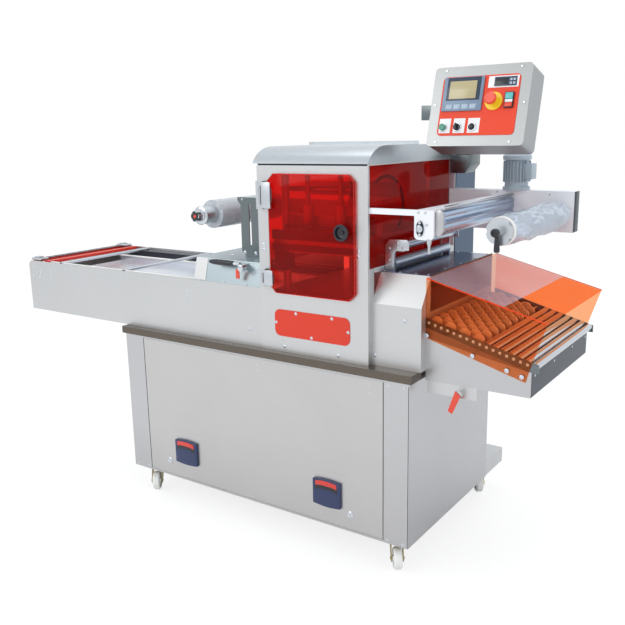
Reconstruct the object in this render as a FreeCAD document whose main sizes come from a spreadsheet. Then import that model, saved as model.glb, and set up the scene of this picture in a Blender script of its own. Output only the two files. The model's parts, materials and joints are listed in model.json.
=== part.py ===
"""In-line tray sealer on castors: an infeed trough, a glazed sealing tower, film reels and a sloping outfeed bed.

The design frame has its datum at the front right lower corner of the base cabinet: X runs along the machine towards
the outfeed, Y from the front to the rear and Z up. The finished part stands on the floor with its origin under the
middle of its box.
"""
import FreeCAD, Part
import Sketcher
import math
import os

Vector = FreeCAD.Vector

# ------------------------------------------------------------------------------------------------- driving sizes
SIZES = [
    # name, millimetres, what it is
    ("cabinet_length", 1357, "base cabinet along the machine"),
    ("cabinet_depth", 700, "base cabinet front to rear"),
    ("cabinet_height", 596, "base cabinet above its underside"),
    ("castor_height", 108, "floor to the underside of the cabinet"),
    ("sheet", 2, "thin stainless sheet"),
    ("plate", 4, "stainless plate of the tower front"),
    ("seat_gap", 0.3, "gap between pieces that only lie on each other"),
    ("panel_left", 1252, "left edge of the front panel, left of the datum"),
    ("panel_right", 98, "right edge of the front panel, left of the datum"),
    ("panel_lift", 8, "front panel edge above the underside of the cabinet"),
    ("latch_height", 130, "middle of the pull latches above the underside"),
    ("latch_one", 330, "right pull latch, left of the datum"),
    ("latch_two", 1032, "left pull latch, left of the datum"),
    ("latch_width", 122, "pull latch, overall"),
    ("latch_tall", 108, "pull latch, top to bottom"),
    ("latch_proud", 11, "pull latch in front of the panel"),
    ("worktop_end", 12, "worktop past the cabinet's ends"),
    ("worktop_front", 9, "worktop past the cabinet's front and rear"),
    ("worktop_rise", 38, "worktop above the front panel"),
    ("worktop_sheet", 3, "worktop sheet"),
    ("worktop_lip", 29, "height of the worktop's folded rim"),
    ("base_box_depth", 194, "low rear box front to rear"),
    ("base_box_height", 62, "low rear box"),
    ("base_box_inset", 3, "low rear box in from the cabinet's end"),
    ("column_depth", 188, "rear column front to rear"),
    ("column_gap", 12, "rear column behind the cabinet"),
    ("column_top", 1338, "top of the rear column above the underside"),
    ("trough_left", 2020, "left end of the infeed trough, left of the datum"),
    ("trough_front", 24, "front face of the trough behind the cabinet's front"),
    ("trough_width", 576, "trough, front face to rear face"),
    ("trough_high", 865, "upper edge of the trough's side plates"),
    ("trough_corner", 26, "rounded end corner of the trough's side plates"),
    ("pan_height", 812, "top of the tray pan"),
    ("rail_width", 26, "chain rail inside the trough"),
    ("rail_height", 34, "chain rail, top to bottom"),
    ("rail_drop", 10, "chain rail below the trough's edge"),
    ("bar_diameter", 14, "cross bar between the chains"),
    ("bar_pitch", 415, "distance between the cross bars"),
    ("bar_first", 215, "first cross bar from the trough's end"),
    ("strip_width", 30, "red strip at the trough's end"),
    ("strip_height", 12, "red strip, top to bottom"),
    ("hood_left", 967, "left end of the hood before the tower, left of the datum"),
    ("hood_top", 954, "top of the hood above the underside"),
    ("hood_lean", 24, "hood's front edge, how far it leans back"),
    ("tower_left", 630, "left face of the tower, left of the datum"),
    ("tower_width", 462, "tower along the machine"),
    ("tower_front", 21, "front face of the tower behind the cabinet's front"),
    ("tower_rear", 704, "rear face of the tower"),
    ("tower_top", 1312, "upper edge of the tower's front plate"),
    ("window_left", 583, "left edge of the tower's window, left of the datum"),
    ("window_right", 218, "right edge of the tower's window, left of the datum"),
    ("window_low", 853, "lower edge of the window"),
    ("window_high", 1284, "upper edge of the window"),
    ("window_chamfer", 24, "cut corner of the window"),
    ("pane_thick", 6, "door pane"),
    ("pane_lap", 10, "door pane past the window's edge"),
    ("pane_gap", 5, "door pane in front of the tower's plate"),
    ("knob_left", 270, "door knob, left of the datum"),
    ("knob_height", 1088, "door knob above the underside"),
    ("knob_diameter", 52, "door knob"),
    ("roof_lip", 18, "roof past the tower's left face"),
    ("roof_eave", 1318, "lower edge of the roof"),
    ("roof_front", 1371, "roof where its front curve ends"),
    ("roof_curve", 124, "depth of the roof's front curve"),
    ("roof_rear", 1384, "roof at its rear edge"),
    ("side_opening_low", 960, "lower edge of the tower's side openings"),
    ("window_rear", 642, "rear edge of the tower's side windows"),
    ("side_post", 34, "front post of the tower's sides"),
    ("deck_right", 20, "right end of the deck, right of the datum"),
    ("deck_height", 951, "deck above the underside"),
    ("deck_front", 108, "front edge of the deck"),
    ("deck_rear", 642, "rear edge of the deck"),
    ("ledge_front", 44, "front face below the deck"),
    ("ledge_height", 853, "edge where the front face turns to the slope"),
    ("housing_front", 80, "front face of the outfeed housing"),
    ("housing_rear", 684, "rear face of the outfeed housing"),
    ("housing_right", 382, "right end of the outfeed housing, right of the datum"),
    ("housing_low", 600, "lower edge of the outfeed housing"),
    ("housing_high_left", 783, "upper edge of the outfeed housing at its left end"),
    ("housing_high_right", 683, "upper edge of the outfeed housing at its right end"),
    ("bed_rise", 22, "axles of the outfeed bed above the housing's edge"),
    ("wheel_diameter", 40, "small wheel of the outfeed bed"),
    ("wheel_width", 16, "small wheel of the outfeed bed, along its axle"),
    ("wheel_pitch", 25, "axle pitch of the outfeed bed along the slope"),
    ("wheel_columns", 9, "wheels on one axle"),
    ("wheel_axles", 7, "axles with small wheels"),
    ("roller_count", 7, "full rollers after the wheels"),
    ("roller_diameter", 24, "full roller of the outfeed bed"),
    ("guard_right", 425, "right end of the guard, right of the datum"),
    ("guard_thick", 4, "orange guard sheet"),
    ("guard_fall", 106, "fall of the guard's crease from the deck to its right end"),
    ("beam_right", 317, "right end of the rear film beam, right of the datum"),
    ("beam_front", 650, "front face of the rear film beam"),
    ("beam_depth", 55, "rear film beam front to rear"),
    ("beam_low", 1050, "lower edge of the rear film beam"),
    ("beam_high", 1198, "upper edge of the rear film beam"),
    ("arm_front", 30, "front face of the front film arm"),
    ("arm_low", 1157, "lower edge of the front film arm"),
    ("arm_high", 1176, "upper edge of the front film arm"),
    ("arm_thick", 10, "front film arm and its plate"),
    ("arm_right", 65, "right end of the front film arm's plate"),
    ("reel_right", 268, "axis of the unwind reel, right of the datum"),
    ("reel_height", 1117, "axis of the unwind reel above the underside"),
    ("reel_front", 60, "front end of the unwind reel's hub"),
    ("film_diameter", 84, "film on the unwind reel"),
    ("rewind_left", 1030, "axis of the rewind reel, left of the datum"),
    ("rewind_height", 1103, "axis of the rewind reel above the underside"),
    ("rewind_front", 115, "front of the rewind reel's star knob"),
    ("rewind_film", 116, "waste film on the rewind reel"),
    ("motor_left", 92, "axis of the motor, right of the datum"),
    ("motor_diameter", 104, "motor body"),
    ("motor_height", 132, "motor body and fan cover"),
    ("box_width", 338, "control box"),
    ("box_tall", 268, "control box, along its face"),
    ("box_deep", 112, "control box, front to rear"),
    ("box_right", 263, "right end of the control box, right of the datum"),
    ("box_front", 250, "lower front edge of the control box behind the cabinet's front"),
    ("box_low", 1369, "lower front edge of the control box above the underside"),
    ("box_tilt", 16, "control box's lean to the rear, degrees"),
    ("castor_inset", 76, "castor axis in from the cabinet's end"),
    ("castor_front", 60, "front castor axis behind the cabinet's front"),
    ("castor_rear", 795, "rear castor axis behind the cabinet's front"),
    ("castor_trail", 30, "castor wheel's axle behind its swivel"),
    ("castor_wheel", 80, "castor wheel diameter"),
    ("castor_tread", 30, "castor wheel width"),
    ("castor_turn", -55, "way the castors point, degrees from +X"),
    ("castor_base", 76, "castor plate, each way"),
    ("castor_plate", 4, "castor plate thickness"),
    ("castor_cup", 7, "bearing cup below the castor plate"),
    ("castor_neck", 46, "bearing cup and fork crown diameter"),
    ("castor_crown", 44, "fork crown along the trail"),
    ("castor_leg", 3, "sheet of the castor fork"),
    ("castor_eye", 12, "fork's end round the axle"),
    ("castor_side", 5, "gap between the castor wheel and its fork"),
    ("castor_axle", 10, "castor axle"),
    ("axle_clearance", 0.3, "radial clearance of what turns on an axle"),
    ("castor_hub", 3, "castor hub past the tread on each side"),
    ("castor_dish", 7, "dished side of the castor wheel"),
    ("castor_rim", 9, "castor wheel's rim, radially"),
    ("castor_shoulder", 5, "castor wheel's bevelled shoulder"),
    ("panel_seam", 1.5, "seam round the front panel"),
    ("profile_in", 42, "deck bars in from the deck's edges"),
    ("profile_left", 2, "deck bars' brackets from the tower"),
    ("bracket_wide", 64, "deck bars' bracket along the machine"),
    ("bracket_tall", 98, "deck bars' bracket, top to bottom"),
    ("bracket_stem", 28, "upright of the deck bars' bracket"),
    ("bracket_arm", 32, "arm of the deck bars' bracket, top to bottom"),
    ("bracket_step", 6, "cut corners of the deck bars' bracket"),
    ("upper_bar", 24, "upper deck bar"),
    ("lower_bar", 34, "lower deck bar"),
    ("frame_past", 22, "conveyor rails past the housing"),
    ("frame_thick", 4, "conveyor rail"),
    ("frame_over", 10, "conveyor rail above its axles"),
    ("wheel_first", 24, "first small wheels from the deck"),
    ("wheel_axle", 8, "axle of the small wheels"),
    ("wheel_side", 20, "first small wheel from the rail"),
    ("wheel_spacing", 60, "distance between small wheels on one axle"),
    ("roller_lead", 9, "gap between the last small wheels and the first roller"),
    ("roller_pitch", 27, "pitch of the full rollers"),
    ("guard_lap", 9, "guard past the edges it is screwed to"),
    ("guard_hang", 34, "guard's flange below the housing's edge"),
    ("clamp_left", 28, "clamp plate, right of the datum"),
    ("clamp_long", 176, "clamp plate along the machine"),
    ("clamp_tall", 42, "clamp plate"),
    ("clamp_boss", 24, "clamp boss"),
    ("clamp_boss_right", 150, "clamp boss, right of the datum"),
    ("lever_reach", 26, "clamp lever's grip left of its boss"),
    ("lever_drop", 62, "clamp lever's grip below its boss"),
    ("arm_plate_wide", 68, "end plate of the film arm"),
    ("arm_plate_drop", 76, "end plate below the film arm"),
    ("upper_in", 18, "upper guide roller in from the end plate's edge"),
    ("upper_drop", 31, "upper guide roller below the film arm"),
    ("lower_in", 42, "lower guide roller in from the end plate's edge"),
    ("lower_drop", 61, "lower guide roller below the film arm"),
    ("cover_bar_wide", 62, "cover bar over the guide rollers"),
    ("cover_bar_tall", 8, "cover bar"),
    ("guide_diameter", 30, "guide rollers"),
    ("shaft", 20, "reel shafts"),
    ("shaft_past", 22, "unwind shaft past its hub"),
    ("boss_long", 14, "bearing boss of the unwind reel"),
    ("hub_thick", 14, "scalloped hub of the unwind reel"),
    ("hub_notch", 22, "notch between the lobes of the hub"),
    ("star_notch", 13, "notch between the lobes of the star knob"),
    ("film_end", 6, "bare length of core at the end of a reel"),
    ("reel_arm_rear", 652, "arm of the rewind reel behind the cabinet's front"),
    ("reel_arm_end", 34, "arm of the rewind reel past its axis"),
    ("reel_arm_tall", 68, "arm of the rewind reel"),
    ("reel_arm_foot", 44, "foot of the rewind reel's arm, front to rear"),
    ("star_diameter", 44, "star knob"),
    ("star_deep", 24, "star knob along the axis"),
    ("star_gap", 10, "gap between the star knob and the core"),
    ("core_diameter", 72, "core of the rewind reel"),
    ("core_bare", 72, "bare core before the waste film"),
    ("slot_front", 145, "front face of the slotted plate"),
    ("slot_left", 815, "left edge of the slotted plate, left of the datum"),
    ("slot_width", 92, "slotted plate"),
    ("slot_cut", 20, "cut lower corner of the slotted plate"),
    ("slot_top", 1184, "upper edge of the slotted plate"),
    ("slot_ear", 14, "ear at the slotted plate's head"),
    ("slot_open", 10, "width of the slot"),
    ("slot_low", 46, "lower end of the slot above the hood"),
    ("slot_long", 156, "length of the slot"),
    ("slot_tie", 20, "tie from the slotted plate to the tower"),
    ("lever_left", 706, "axis of the hood's lever, left of the datum"),
    ("lever_below", 18, "axis of the hood's lever below the hood's top"),
    ("lever_proud", 25, "hood's lever in front of the tower's face"),
    ("lever_tag", 44, "red tag below the lever's hub"),
    ("lever_tag_wide", 20, "red tag, along the machine"),
    ("lever_hub", 28, "hub of the hood's lever"),
    ("lever_long", 160, "grip of the hood's lever"),
    ("lever_grip", 22, "grip diameter of the hood's lever"),
    ("lever_up", 13, "grip above the hub's axis"),
    ("motor_rear", 678, "axis of the motor behind the cabinet's front"),
    ("motor_fins", 8, "fins of the motor"),
    ("motor_fin", 9, "depth of the motor's fins"),
    ("motor_flange", 14, "flange of the motor"),
    ("motor_cover", 22, "fan cover of the motor"),
    ("motor_flange_past", 6, "flange of the motor past its body"),
    ("motor_cover_past", 4, "fan cover past the motor's body"),
    ("motor_cover_curve", 6, "bevelled edge of the fan cover"),
    ("terminal_wide", 60, "terminal box of the motor, front to rear"),
    ("terminal_tall", 62, "terminal box of the motor"),
    ("terminal_low", 34, "terminal box above the motor's flange face"),
    ("terminal_past", 16, "terminal box past the motor's body"),
    ("box_round", 14, "rounded corners of the control box"),
    ("face_in", 35, "fascia in from the control box's edges"),
    ("display_left", 42, "display from the box's left end"),
    ("display_low", 116, "display above the box's lower edge"),
    ("display_wide", 141, "display"),
    ("display_tall", 114, "display"),
    ("display_proud", 7, "display in front of the fascia"),
    ("unit_left", 217, "temperature unit from the box's left end"),
    ("unit_low", 194, "temperature unit above the box's lower edge"),
    ("unit_wide", 75, "temperature unit"),
    ("unit_tall", 30, "temperature unit"),
    ("unit_proud", 6, "small units in front of the fascia"),
    ("rocker_left", 260, "rocker switch from the box's left end"),
    ("rocker_low", 121, "rocker switch above the box's lower edge"),
    ("rocker_wide", 29, "rocker switch"),
    ("rocker_tall", 52, "rocker switch"),
    ("button_first", 55, "first push button from the box's left end"),
    ("button_pitch", 52, "distance between the push buttons"),
    ("button_height", 62, "push buttons above the box's lower edge"),
    ("button_diameter", 28, "push button"),
    ("button_proud", 14, "push buttons in front of the fascia"),
    ("stop_left", 222, "emergency stop from the box's left end"),
    ("stop_height", 146, "emergency stop above the box's lower edge"),
    ("stop_diameter", 40, "mushroom head of the emergency stop"),
    ("stop_collar", 12, "collar of the emergency stop"),
    ("stop_gap", 9, "travel and gap below the emergency stop's head"),
    ("stop_room", 5, "room below the emergency stop's stem"),
    ("stop_deep", 18, "mushroom head, front to rear"),
    ("arm_in", 5, "control arm from the box's left end"),
    ("arm_pad", 60, "pad between the control arm and the box"),
    ("arm_wall", 6, "control arm's post behind the rear beam's front face"),
    ("arm_rise", 120, "top of the control arm above the box's lower edge"),
    ("arm_meet", 180, "front end of the control arm behind the box's lower edge"),
    ("arm_square", 40, "control arm's square tube"),
    ("label_left", 566, "left edge of the name plate, left of the datum"),
    ("label_right", 241, "right edge of the name plate, left of the datum"),
    ("label_low", 694, "lower edge of the name plate"),
    ("label_high", 794, "upper edge of the name plate"),
    ("label_round", 24, "rounded corner of the name plate"),
    ("label_thick", 2, "name plate"),
    ("side_sill", 20, "sill of the tower's side openings"),
    ("side_rail", 30, "rail over the tower's side openings"),
    ("side_pane", 5, "pane of the tower's side openings"),
    ("passage_side", 20, "tower's tray passage in from the trough's sides"),
    ("passage_low", 830, "floor of the way out under the deck"),
    ("lever_boss", 24, "fixed boss of the hood's lever"),
    ("ridge_in", 70, "roof's rear ridge in from the tower's left face"),
    ("ridge_deep", 40, "roof's rear ridge, front to rear"),
    ("ridge_tall", 8, "roof's rear ridge above the roof"),
    ("hinge_left", 622, "left edge of the hinge blocks, left of the datum"),
    ("hinge_axis", 600, "axis of the door's hinges, left of the datum"),
    ("hinge_pin", 8, "pin of the door's hinges"),
    ("hinge_leaf", 44, "moving leaf of the door's hinges"),
    ("hinge_low", 878, "lower end of the lower hinge block"),
    ("hinge_short", 63, "lower hinge block"),
    ("hinge_high", 1258, "upper end of the upper hinge block"),
    ("hinge_long", 100, "upper hinge block"),
    ("hinge_play", 1, "end play in the door's hinges"),
    ("knob_deep", 26, "door knob, front to rear"),
    ("die_side", 26, "lower die in from the tower's sides"),
    ("die_front", 46, "lower die behind the tower's front plate"),
    ("die_rear", 30, "lower die in front of the side window's rear edge"),
    ("die_top", 858, "top of the lower die"),
    ("head_low", 1000, "underside of the upper head"),
    ("head_tall", 70, "upper head"),
    ("beam_in", 60, "head beams in from the head's edges"),
    ("head_beam", 40, "head beam front to rear"),
    ("head_beam_tall", 60, "head beam"),
    ("column_in", 34, "guide columns in from the head's edges"),
    ("column_diameter", 28, "guide column"),
    ("latch_rim", 8, "rim of a pull latch"),
    ("latch_bar", 16, "red bar of a pull latch"),
    ("pan_end", 130, "start of the tray pan from the trough's end"),
    ("pan_rib", 12, "turned-up rib of the tray pan"),
    ("pan_rib_height", 26, "turned-up rib of the tray pan above its sheet"),
    ("pan_rib_front", 60, "front rib from the trough's side"),
    ("pan_rib_rear", 130, "rear rib from the trough's side"),
    ("rail_end", 12, "start of the chain rails from the trough's end"),
    ("bar_end", 14, "gap between a cross bar and the trough's side"),
    ("strip_first", 14, "first red strip from the trough's end"),
    ("strip_pitch", 86, "distance between the red strips"),
    ("strip_end", 12, "gap between a red strip and the trough's side"),
]


# ------------------------------------------------------------------------------------------- sizes and their sheet
class Size:
    """A length that knows its number and its formula in the sheet, so what is worked out from it stays bound."""

    def __init__(self, number, formula):
        self.number = float(number)
        self.formula = formula

    @staticmethod
    def of(value):
        if isinstance(value, Size):
            return value
        return Size(value, f"({float(value)!r})")

    def __add__(self, other):
        other = Size.of(other)
        return Size(self.number + other.number, f"({self.formula} + {other.formula})")

    def __sub__(self, other):
        other = Size.of(other)
        return Size(self.number - other.number, f"({self.formula} - {other.formula})")

    def __mul__(self, other):
        other = Size.of(other)
        return Size(self.number * other.number, f"({self.formula} * {other.formula})")

    def __truediv__(self, other):
        other = Size.of(other)
        return Size(self.number / other.number, f"({self.formula} / {other.formula})")

    def __radd__(self, other):
        return Size.of(other) + self

    def __rsub__(self, other):
        return Size.of(other) - self

    def __rmul__(self, other):
        return Size.of(other) * self

    def __rtruediv__(self, other):
        return Size.of(other) / self

    def __neg__(self):
        return Size(-self.number, f"(0 - {self.formula})")

    def __float__(self):
        return self.number


class Sheet:
    """A spreadsheet of the document whose rows are read as attributes."""

    def __init__(self, name):
        self._sheet = DOC.addObject("Spreadsheet::Sheet", name)
        self._name = name
        self._row = 0

    def add(self, alias, number, text, note=""):
        self._row += 1
        self._sheet.set(f"A{self._row}", alias)
        self._sheet.set(f"B{self._row}", text)
        self._sheet.set(f"C{self._row}", note)
        self._sheet.setAlias(f"B{self._row}", alias)
        size = Size(number, f"{self._name}.{alias}")
        setattr(self, alias, size)
        return size


DOC = FreeCAD.newDocument("tray_sealer")
S = Sheet("Sizes")
for alias, millimetres, note in SIZES:
    S.add(alias, millimetres, str(millimetres), note)
PLACES = Sheet("Places")


def place_of(alias, value):
    """Keeps a worked out place in the second sheet, under a name of its own."""
    value = Size.of(value)
    return PLACES.add(alias, value.number, "=" + value.formula)


OWN_FRAME = (0, 0, 0)
DOOR_FRONT = place_of("door_front", S.tower_front - S.pane_gap - S.pane_thick)
KNOB_FRONT = place_of("knob_front", DOOR_FRONT - S.seat_gap - S.knob_deep)
LOBES = 5
# the finished part's origin: under the middle of its box, on the floor
ORIGIN = (
    place_of("origin_x", (S.guard_right - S.trough_left) / 2),
    place_of("origin_y", (S.cabinet_depth + S.column_gap + S.column_depth + KNOB_FRONT) / 2),
    place_of("origin_z", -S.castor_height),
)

# ------------------------------------------------------------------------------------------------ modelling helpers
ALONG = {
    "X": FreeCAD.Rotation(Vector(0, 1, 0), 90),
    "Y": FreeCAD.Rotation(Vector(1, 0, 0), -90),
    "Z": FreeCAD.Rotation(),
}
PLANES = {"XY": "XY_Plane", "XZ": "XZ_Plane", "YZ": "YZ_Plane"}
NODES = []


def bind(obj, prop, value):
    """Ties a property to the sheet."""
    obj.setExpression(prop, Size.of(value).formula)


def locate(obj, x, y, z, rotation=None, frame=ORIGIN):
    """Puts an object at a place of the design frame, or of a piece's own frame."""
    if rotation is not None:
        obj.Placement = FreeCAD.Placement(Vector(), rotation)
    for prop, value, origin in zip("xyz", (x, y, z), frame):
        bind(obj, f"Placement.Base.{prop}", Size.of(value) - origin)


def turn(obj, angle, x, y, z):
    """Turns a piece modelled in its own frame about Z and puts it at a place of the design frame."""
    bind(obj, "Placement.Rotation.Angle", angle)
    locate(obj, x, y, z)
    return obj


def box(name, x, y, z, length, width, height, frame=ORIGIN):
    block = DOC.addObject("Part::Box", name)
    bind(block, "Length", length)
    bind(block, "Width", width)
    bind(block, "Height", height)
    locate(block, x, y, z, None, frame)
    return block


def rod(name, axis, x, y, z, diameter, length, frame=ORIGIN):
    """A round bar along X, Y or Z from its low end."""
    bar = DOC.addObject("Part::Cylinder", name)
    bind(bar, "Radius", Size.of(diameter) / 2)
    bind(bar, "Height", length)
    locate(bar, x, y, z, ALONG[axis], frame)
    return bar


def carried(name, piece):
    """Holds one piece of a frame of its own, so that it can be placed as a whole."""
    holder = DOC.addObject("Part::Compound", name)
    holder.Links = [piece]
    return holder


def fuse(name, *pieces):
    """One solid of pieces that touch, or one object of solids that don't."""
    joined = DOC.addObject("Part::MultiFuse", name)
    joined.Shapes = list(pieces)
    joined.Refine = True
    return joined


def cut(name, base, *tools):
    tool = tools[0]
    if len(tools) > 1:
        tool = fuse(name + "_tool", *tools)
    result = DOC.addObject("Part::Cut", name)
    result.Base = base
    result.Tool = tool
    result.Refine = True
    return result


def origin_plane(body, plane):
    for feature in body.Origin.OriginFeatures:
        if feature.Role == PLANES[plane]:
            return feature
    raise RuntimeError(f"no plane {plane} in {body.Label}")


def outline(body, plane, corners):
    """A closed sketch of straight runs; each corner is held by its two distances from the origin."""
    sketch = body.newObject("Sketcher::SketchObject", body.Name + "_outline")
    sketch.AttachmentSupport = (origin_plane(body, plane), [""])
    sketch.MapMode = "FlatFace"
    points = [Vector(float(a), float(b), 0) for a, b in corners]
    for start, end in zip(points, points[1:] + points[:1]):
        sketch.addGeometry(Part.LineSegment(start, end), False)
    count = len(points)
    for index in range(count):
        sketch.addConstraint(Sketcher.Constraint("Coincident", index, 2, (index + 1) % count, 1))
    for index, corner in enumerate(corners):
        for kind, value in zip(("DistanceX", "DistanceY"), corner):
            row = sketch.addConstraint(Sketcher.Constraint(kind, -1, 1, index, 1, float(value)))
            if isinstance(value, Size):
                sketch.renameConstraint(row, f"{kind}_{index}")
                sketch.setExpression(f"Constraints.{kind}_{index}", value.formula)
    return sketch


def round_corners(body, plane, corners, rounds):
    """Rounds the edges that stand on the named corners of the outline."""
    flat = {"XY": (0, 1), "XZ": (0, 2), "YZ": (1, 2)}[plane]
    for index, radius in rounds.items():
        DOC.recompute()
        tip = body.Tip
        spot = [float(value) for value in corners[index]]
        for number, edge in enumerate(tip.Shape.Edges, 1):
            ends = [vertex.Point for vertex in edge.Vertexes]
            if len(ends) == 2 and all(
                abs(end[axis] - value) < 1e-4 for end in ends for axis, value in zip(flat, spot)
            ):
                fillet = body.newObject("PartDesign::Fillet", f"{body.Name}_round")
                fillet.Base = (tip, [f"Edge{number}"])
                bind(fillet, "Radius", radius)
                break


def profile(name, plane, corners, start, thickness, rounds=None, frame=ORIGIN):
    """A body extruded along the third axis from an outline in the design frame."""
    body = DOC.addObject("PartDesign::Body", name)
    sketch = outline(body, plane, corners)
    pad = body.newObject("PartDesign::Pad", name + "_pad")
    pad.Profile = sketch
    bind(pad, "Length", thickness)
    pad.Reversed = plane == "XZ"
    sketch.Visibility = False
    round_corners(body, plane, corners, rounds or {})
    offset = {"XY": (0, 0, start), "XZ": (0, start, 0), "YZ": (start, 0, 0)}[plane]
    locate(body, *offset, None, frame)
    return body


def turned(name, axis, x, y, z, steps, frame=ORIGIN):
    """A body turned about an axis from corners given as radius and distance along that axis."""
    body = DOC.addObject("PartDesign::Body", name)
    sketch = outline(body, "XZ", steps)
    spin = body.newObject("PartDesign::Revolution", name + "_turn")
    spin.Profile = sketch
    spin.ReferenceAxis = (sketch, ["V_Axis"])
    spin.Angle = 360
    sketch.Visibility = False
    locate(body, x, y, z, ALONG[axis], frame)
    return body


def node(obj, name):
    """Marks an object as a sub-part with a file of its own."""
    obj.Label = name
    NODES.append(obj)
    return obj


# ----------------------------------------------------------------------------------------------------- base cabinet
CABINET_LEFT = place_of("cabinet_left", -S.cabinet_length)
WORKTOP_TOP = place_of("worktop_top", S.cabinet_height + S.worktop_rise)
TOWER_LEFT = place_of("tower_left_face", -S.tower_left)
TOWER_RIGHT = place_of("tower_right_face", S.tower_width - S.tower_left)
COLUMN_FRONT = place_of("column_front", S.cabinet_depth + S.column_gap)


def base_cabinet():
    """Closed stainless box; its front panel lies in a shallow recess between two fixed strips."""
    body = box("cabinet_box", CABINET_LEFT, 0, 0, S.cabinet_length, S.cabinet_depth, WORKTOP_TOP - S.worktop_sheet)
    recess = box(
        "panel_recess", -S.panel_left, -1, S.panel_lift, S.panel_left - S.panel_right,
        S.sheet + 1, S.cabinet_height - S.panel_lift,
    )
    node(cut("base_cabinet", body, recess), "base_cabinet")


def front_panel():
    seam = S.panel_seam
    panel = box(
        "panel_sheet", -S.panel_left + seam, 0, S.panel_lift + seam,
        S.panel_left - S.panel_right - 2 * seam, S.sheet, S.cabinet_height - S.panel_lift - 2 * seam,
    )
    node(panel, "front_panel")


def panel_latches():
    """Two pull latches, each a barrel-sided body with a red bar over a finger hollow."""
    bodies = []
    bars = []
    for index, middle in enumerate((S.latch_one, S.latch_two)):
        left = -middle - S.latch_width / 2
        low = S.latch_height - S.latch_tall / 2
        block = box(
            f"latch_block_{index}", left, -S.latch_proud, low, S.latch_width, S.latch_proud, S.latch_tall,
        )
        hollow = box(
            f"latch_hollow_{index}", left + S.latch_rim, -S.latch_proud - 1, low + S.latch_rim,
            S.latch_width - 2 * S.latch_rim, S.latch_proud - S.sheet + 1, S.latch_tall * 0.4,
        )
        bodies.append(cut(f"latch_body_{index}", block, hollow))
        bars.append(box(
            f"latch_bar_{index}", left + S.latch_rim, -S.latch_proud - S.sheet,
            low + S.latch_tall - S.latch_rim - S.latch_bar, S.latch_width - 2 * S.latch_rim, S.sheet, S.latch_bar,
        ))
    node(fuse("panel_latches", *bodies, *bars), "panel_latches")


def worktop():
    """Folded sheet over the cabinet with a deep polished rim all round."""
    outer = box(
        "worktop_outer", CABINET_LEFT - S.worktop_end, -S.worktop_front, WORKTOP_TOP - S.worktop_lip,
        S.cabinet_length + 2 * S.worktop_end, S.cabinet_depth + 2 * S.worktop_front, S.worktop_lip,
    )
    inner = box(
        "worktop_inner", CABINET_LEFT - S.worktop_end + S.worktop_sheet, -S.worktop_front + S.worktop_sheet,
        WORKTOP_TOP - S.worktop_lip - 1, S.cabinet_length + 2 * (S.worktop_end - S.worktop_sheet),
        S.cabinet_depth + 2 * (S.worktop_front - S.worktop_sheet), S.worktop_lip - S.worktop_sheet + 1,
    )
    node(cut("worktop", outer, inner), "worktop")


def rear_base():
    """Low box behind the cabinet and the tall service column that stands on it."""
    node(box(
        "rear_base_box", CABINET_LEFT + S.base_box_inset, S.cabinet_depth, 0,
        S.cabinet_length - 2 * S.base_box_inset, S.base_box_depth, S.base_box_height,
    ), "rear_base_box")
    node(box(
        "rear_column", TOWER_LEFT, COLUMN_FRONT, S.base_box_height, S.tower_width, S.column_depth,
        S.column_top - S.base_box_height,
    ), "rear_column")


# ---------------------------------------------------------------------------------------------------------- castors
AXLE_DROP = place_of("castor_axle_drop", S.castor_height - S.castor_wheel / 2)


def castor_fork(name):
    """Crown, two legs and the axle, with the wheel trailing along its own +X."""
    crown_top = S.castor_plate + S.castor_cup + S.seat_gap
    inside = S.castor_tread / 2 + S.castor_side
    crown = box(
        f"crown_{name}", -S.castor_crown / 2, -inside - S.castor_leg, -crown_top - S.castor_leg, S.castor_crown,
        2 * (inside + S.castor_leg), S.castor_leg, OWN_FRAME,
    )
    neck = rod(f"neck_{name}", "Z", 0, 0, -crown_top - S.castor_leg, S.castor_neck, S.castor_leg, OWN_FRAME)
    corners = [
        (-S.castor_crown / 2, -crown_top),
        (-S.castor_crown / 2, -crown_top - S.castor_leg * 2),
        (S.castor_trail - S.castor_eye, -AXLE_DROP - S.castor_eye / 2),
        (S.castor_trail - S.castor_eye / 2, -AXLE_DROP - S.castor_eye),
        (S.castor_trail + S.castor_eye / 2, -AXLE_DROP - S.castor_eye),
        (S.castor_trail + S.castor_eye, -AXLE_DROP - S.castor_eye / 2),
        (S.castor_trail + S.castor_eye, -AXLE_DROP),
        (S.castor_crown / 2, -crown_top),
    ]
    near = profile(f"near_leg_{name}", "XZ", corners, -inside - S.castor_leg, S.castor_leg, None, OWN_FRAME)
    far = profile(f"far_leg_{name}", "XZ", corners, inside, S.castor_leg, None, OWN_FRAME)
    axle = rod(
        f"axle_{name}", "Y", S.castor_trail, -inside - 2 * S.castor_leg, -AXLE_DROP, S.castor_axle,
        2 * (inside + 2 * S.castor_leg), OWN_FRAME,
    )
    return fuse(f"fork_{name}", crown, neck, near, far, axle)


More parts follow.
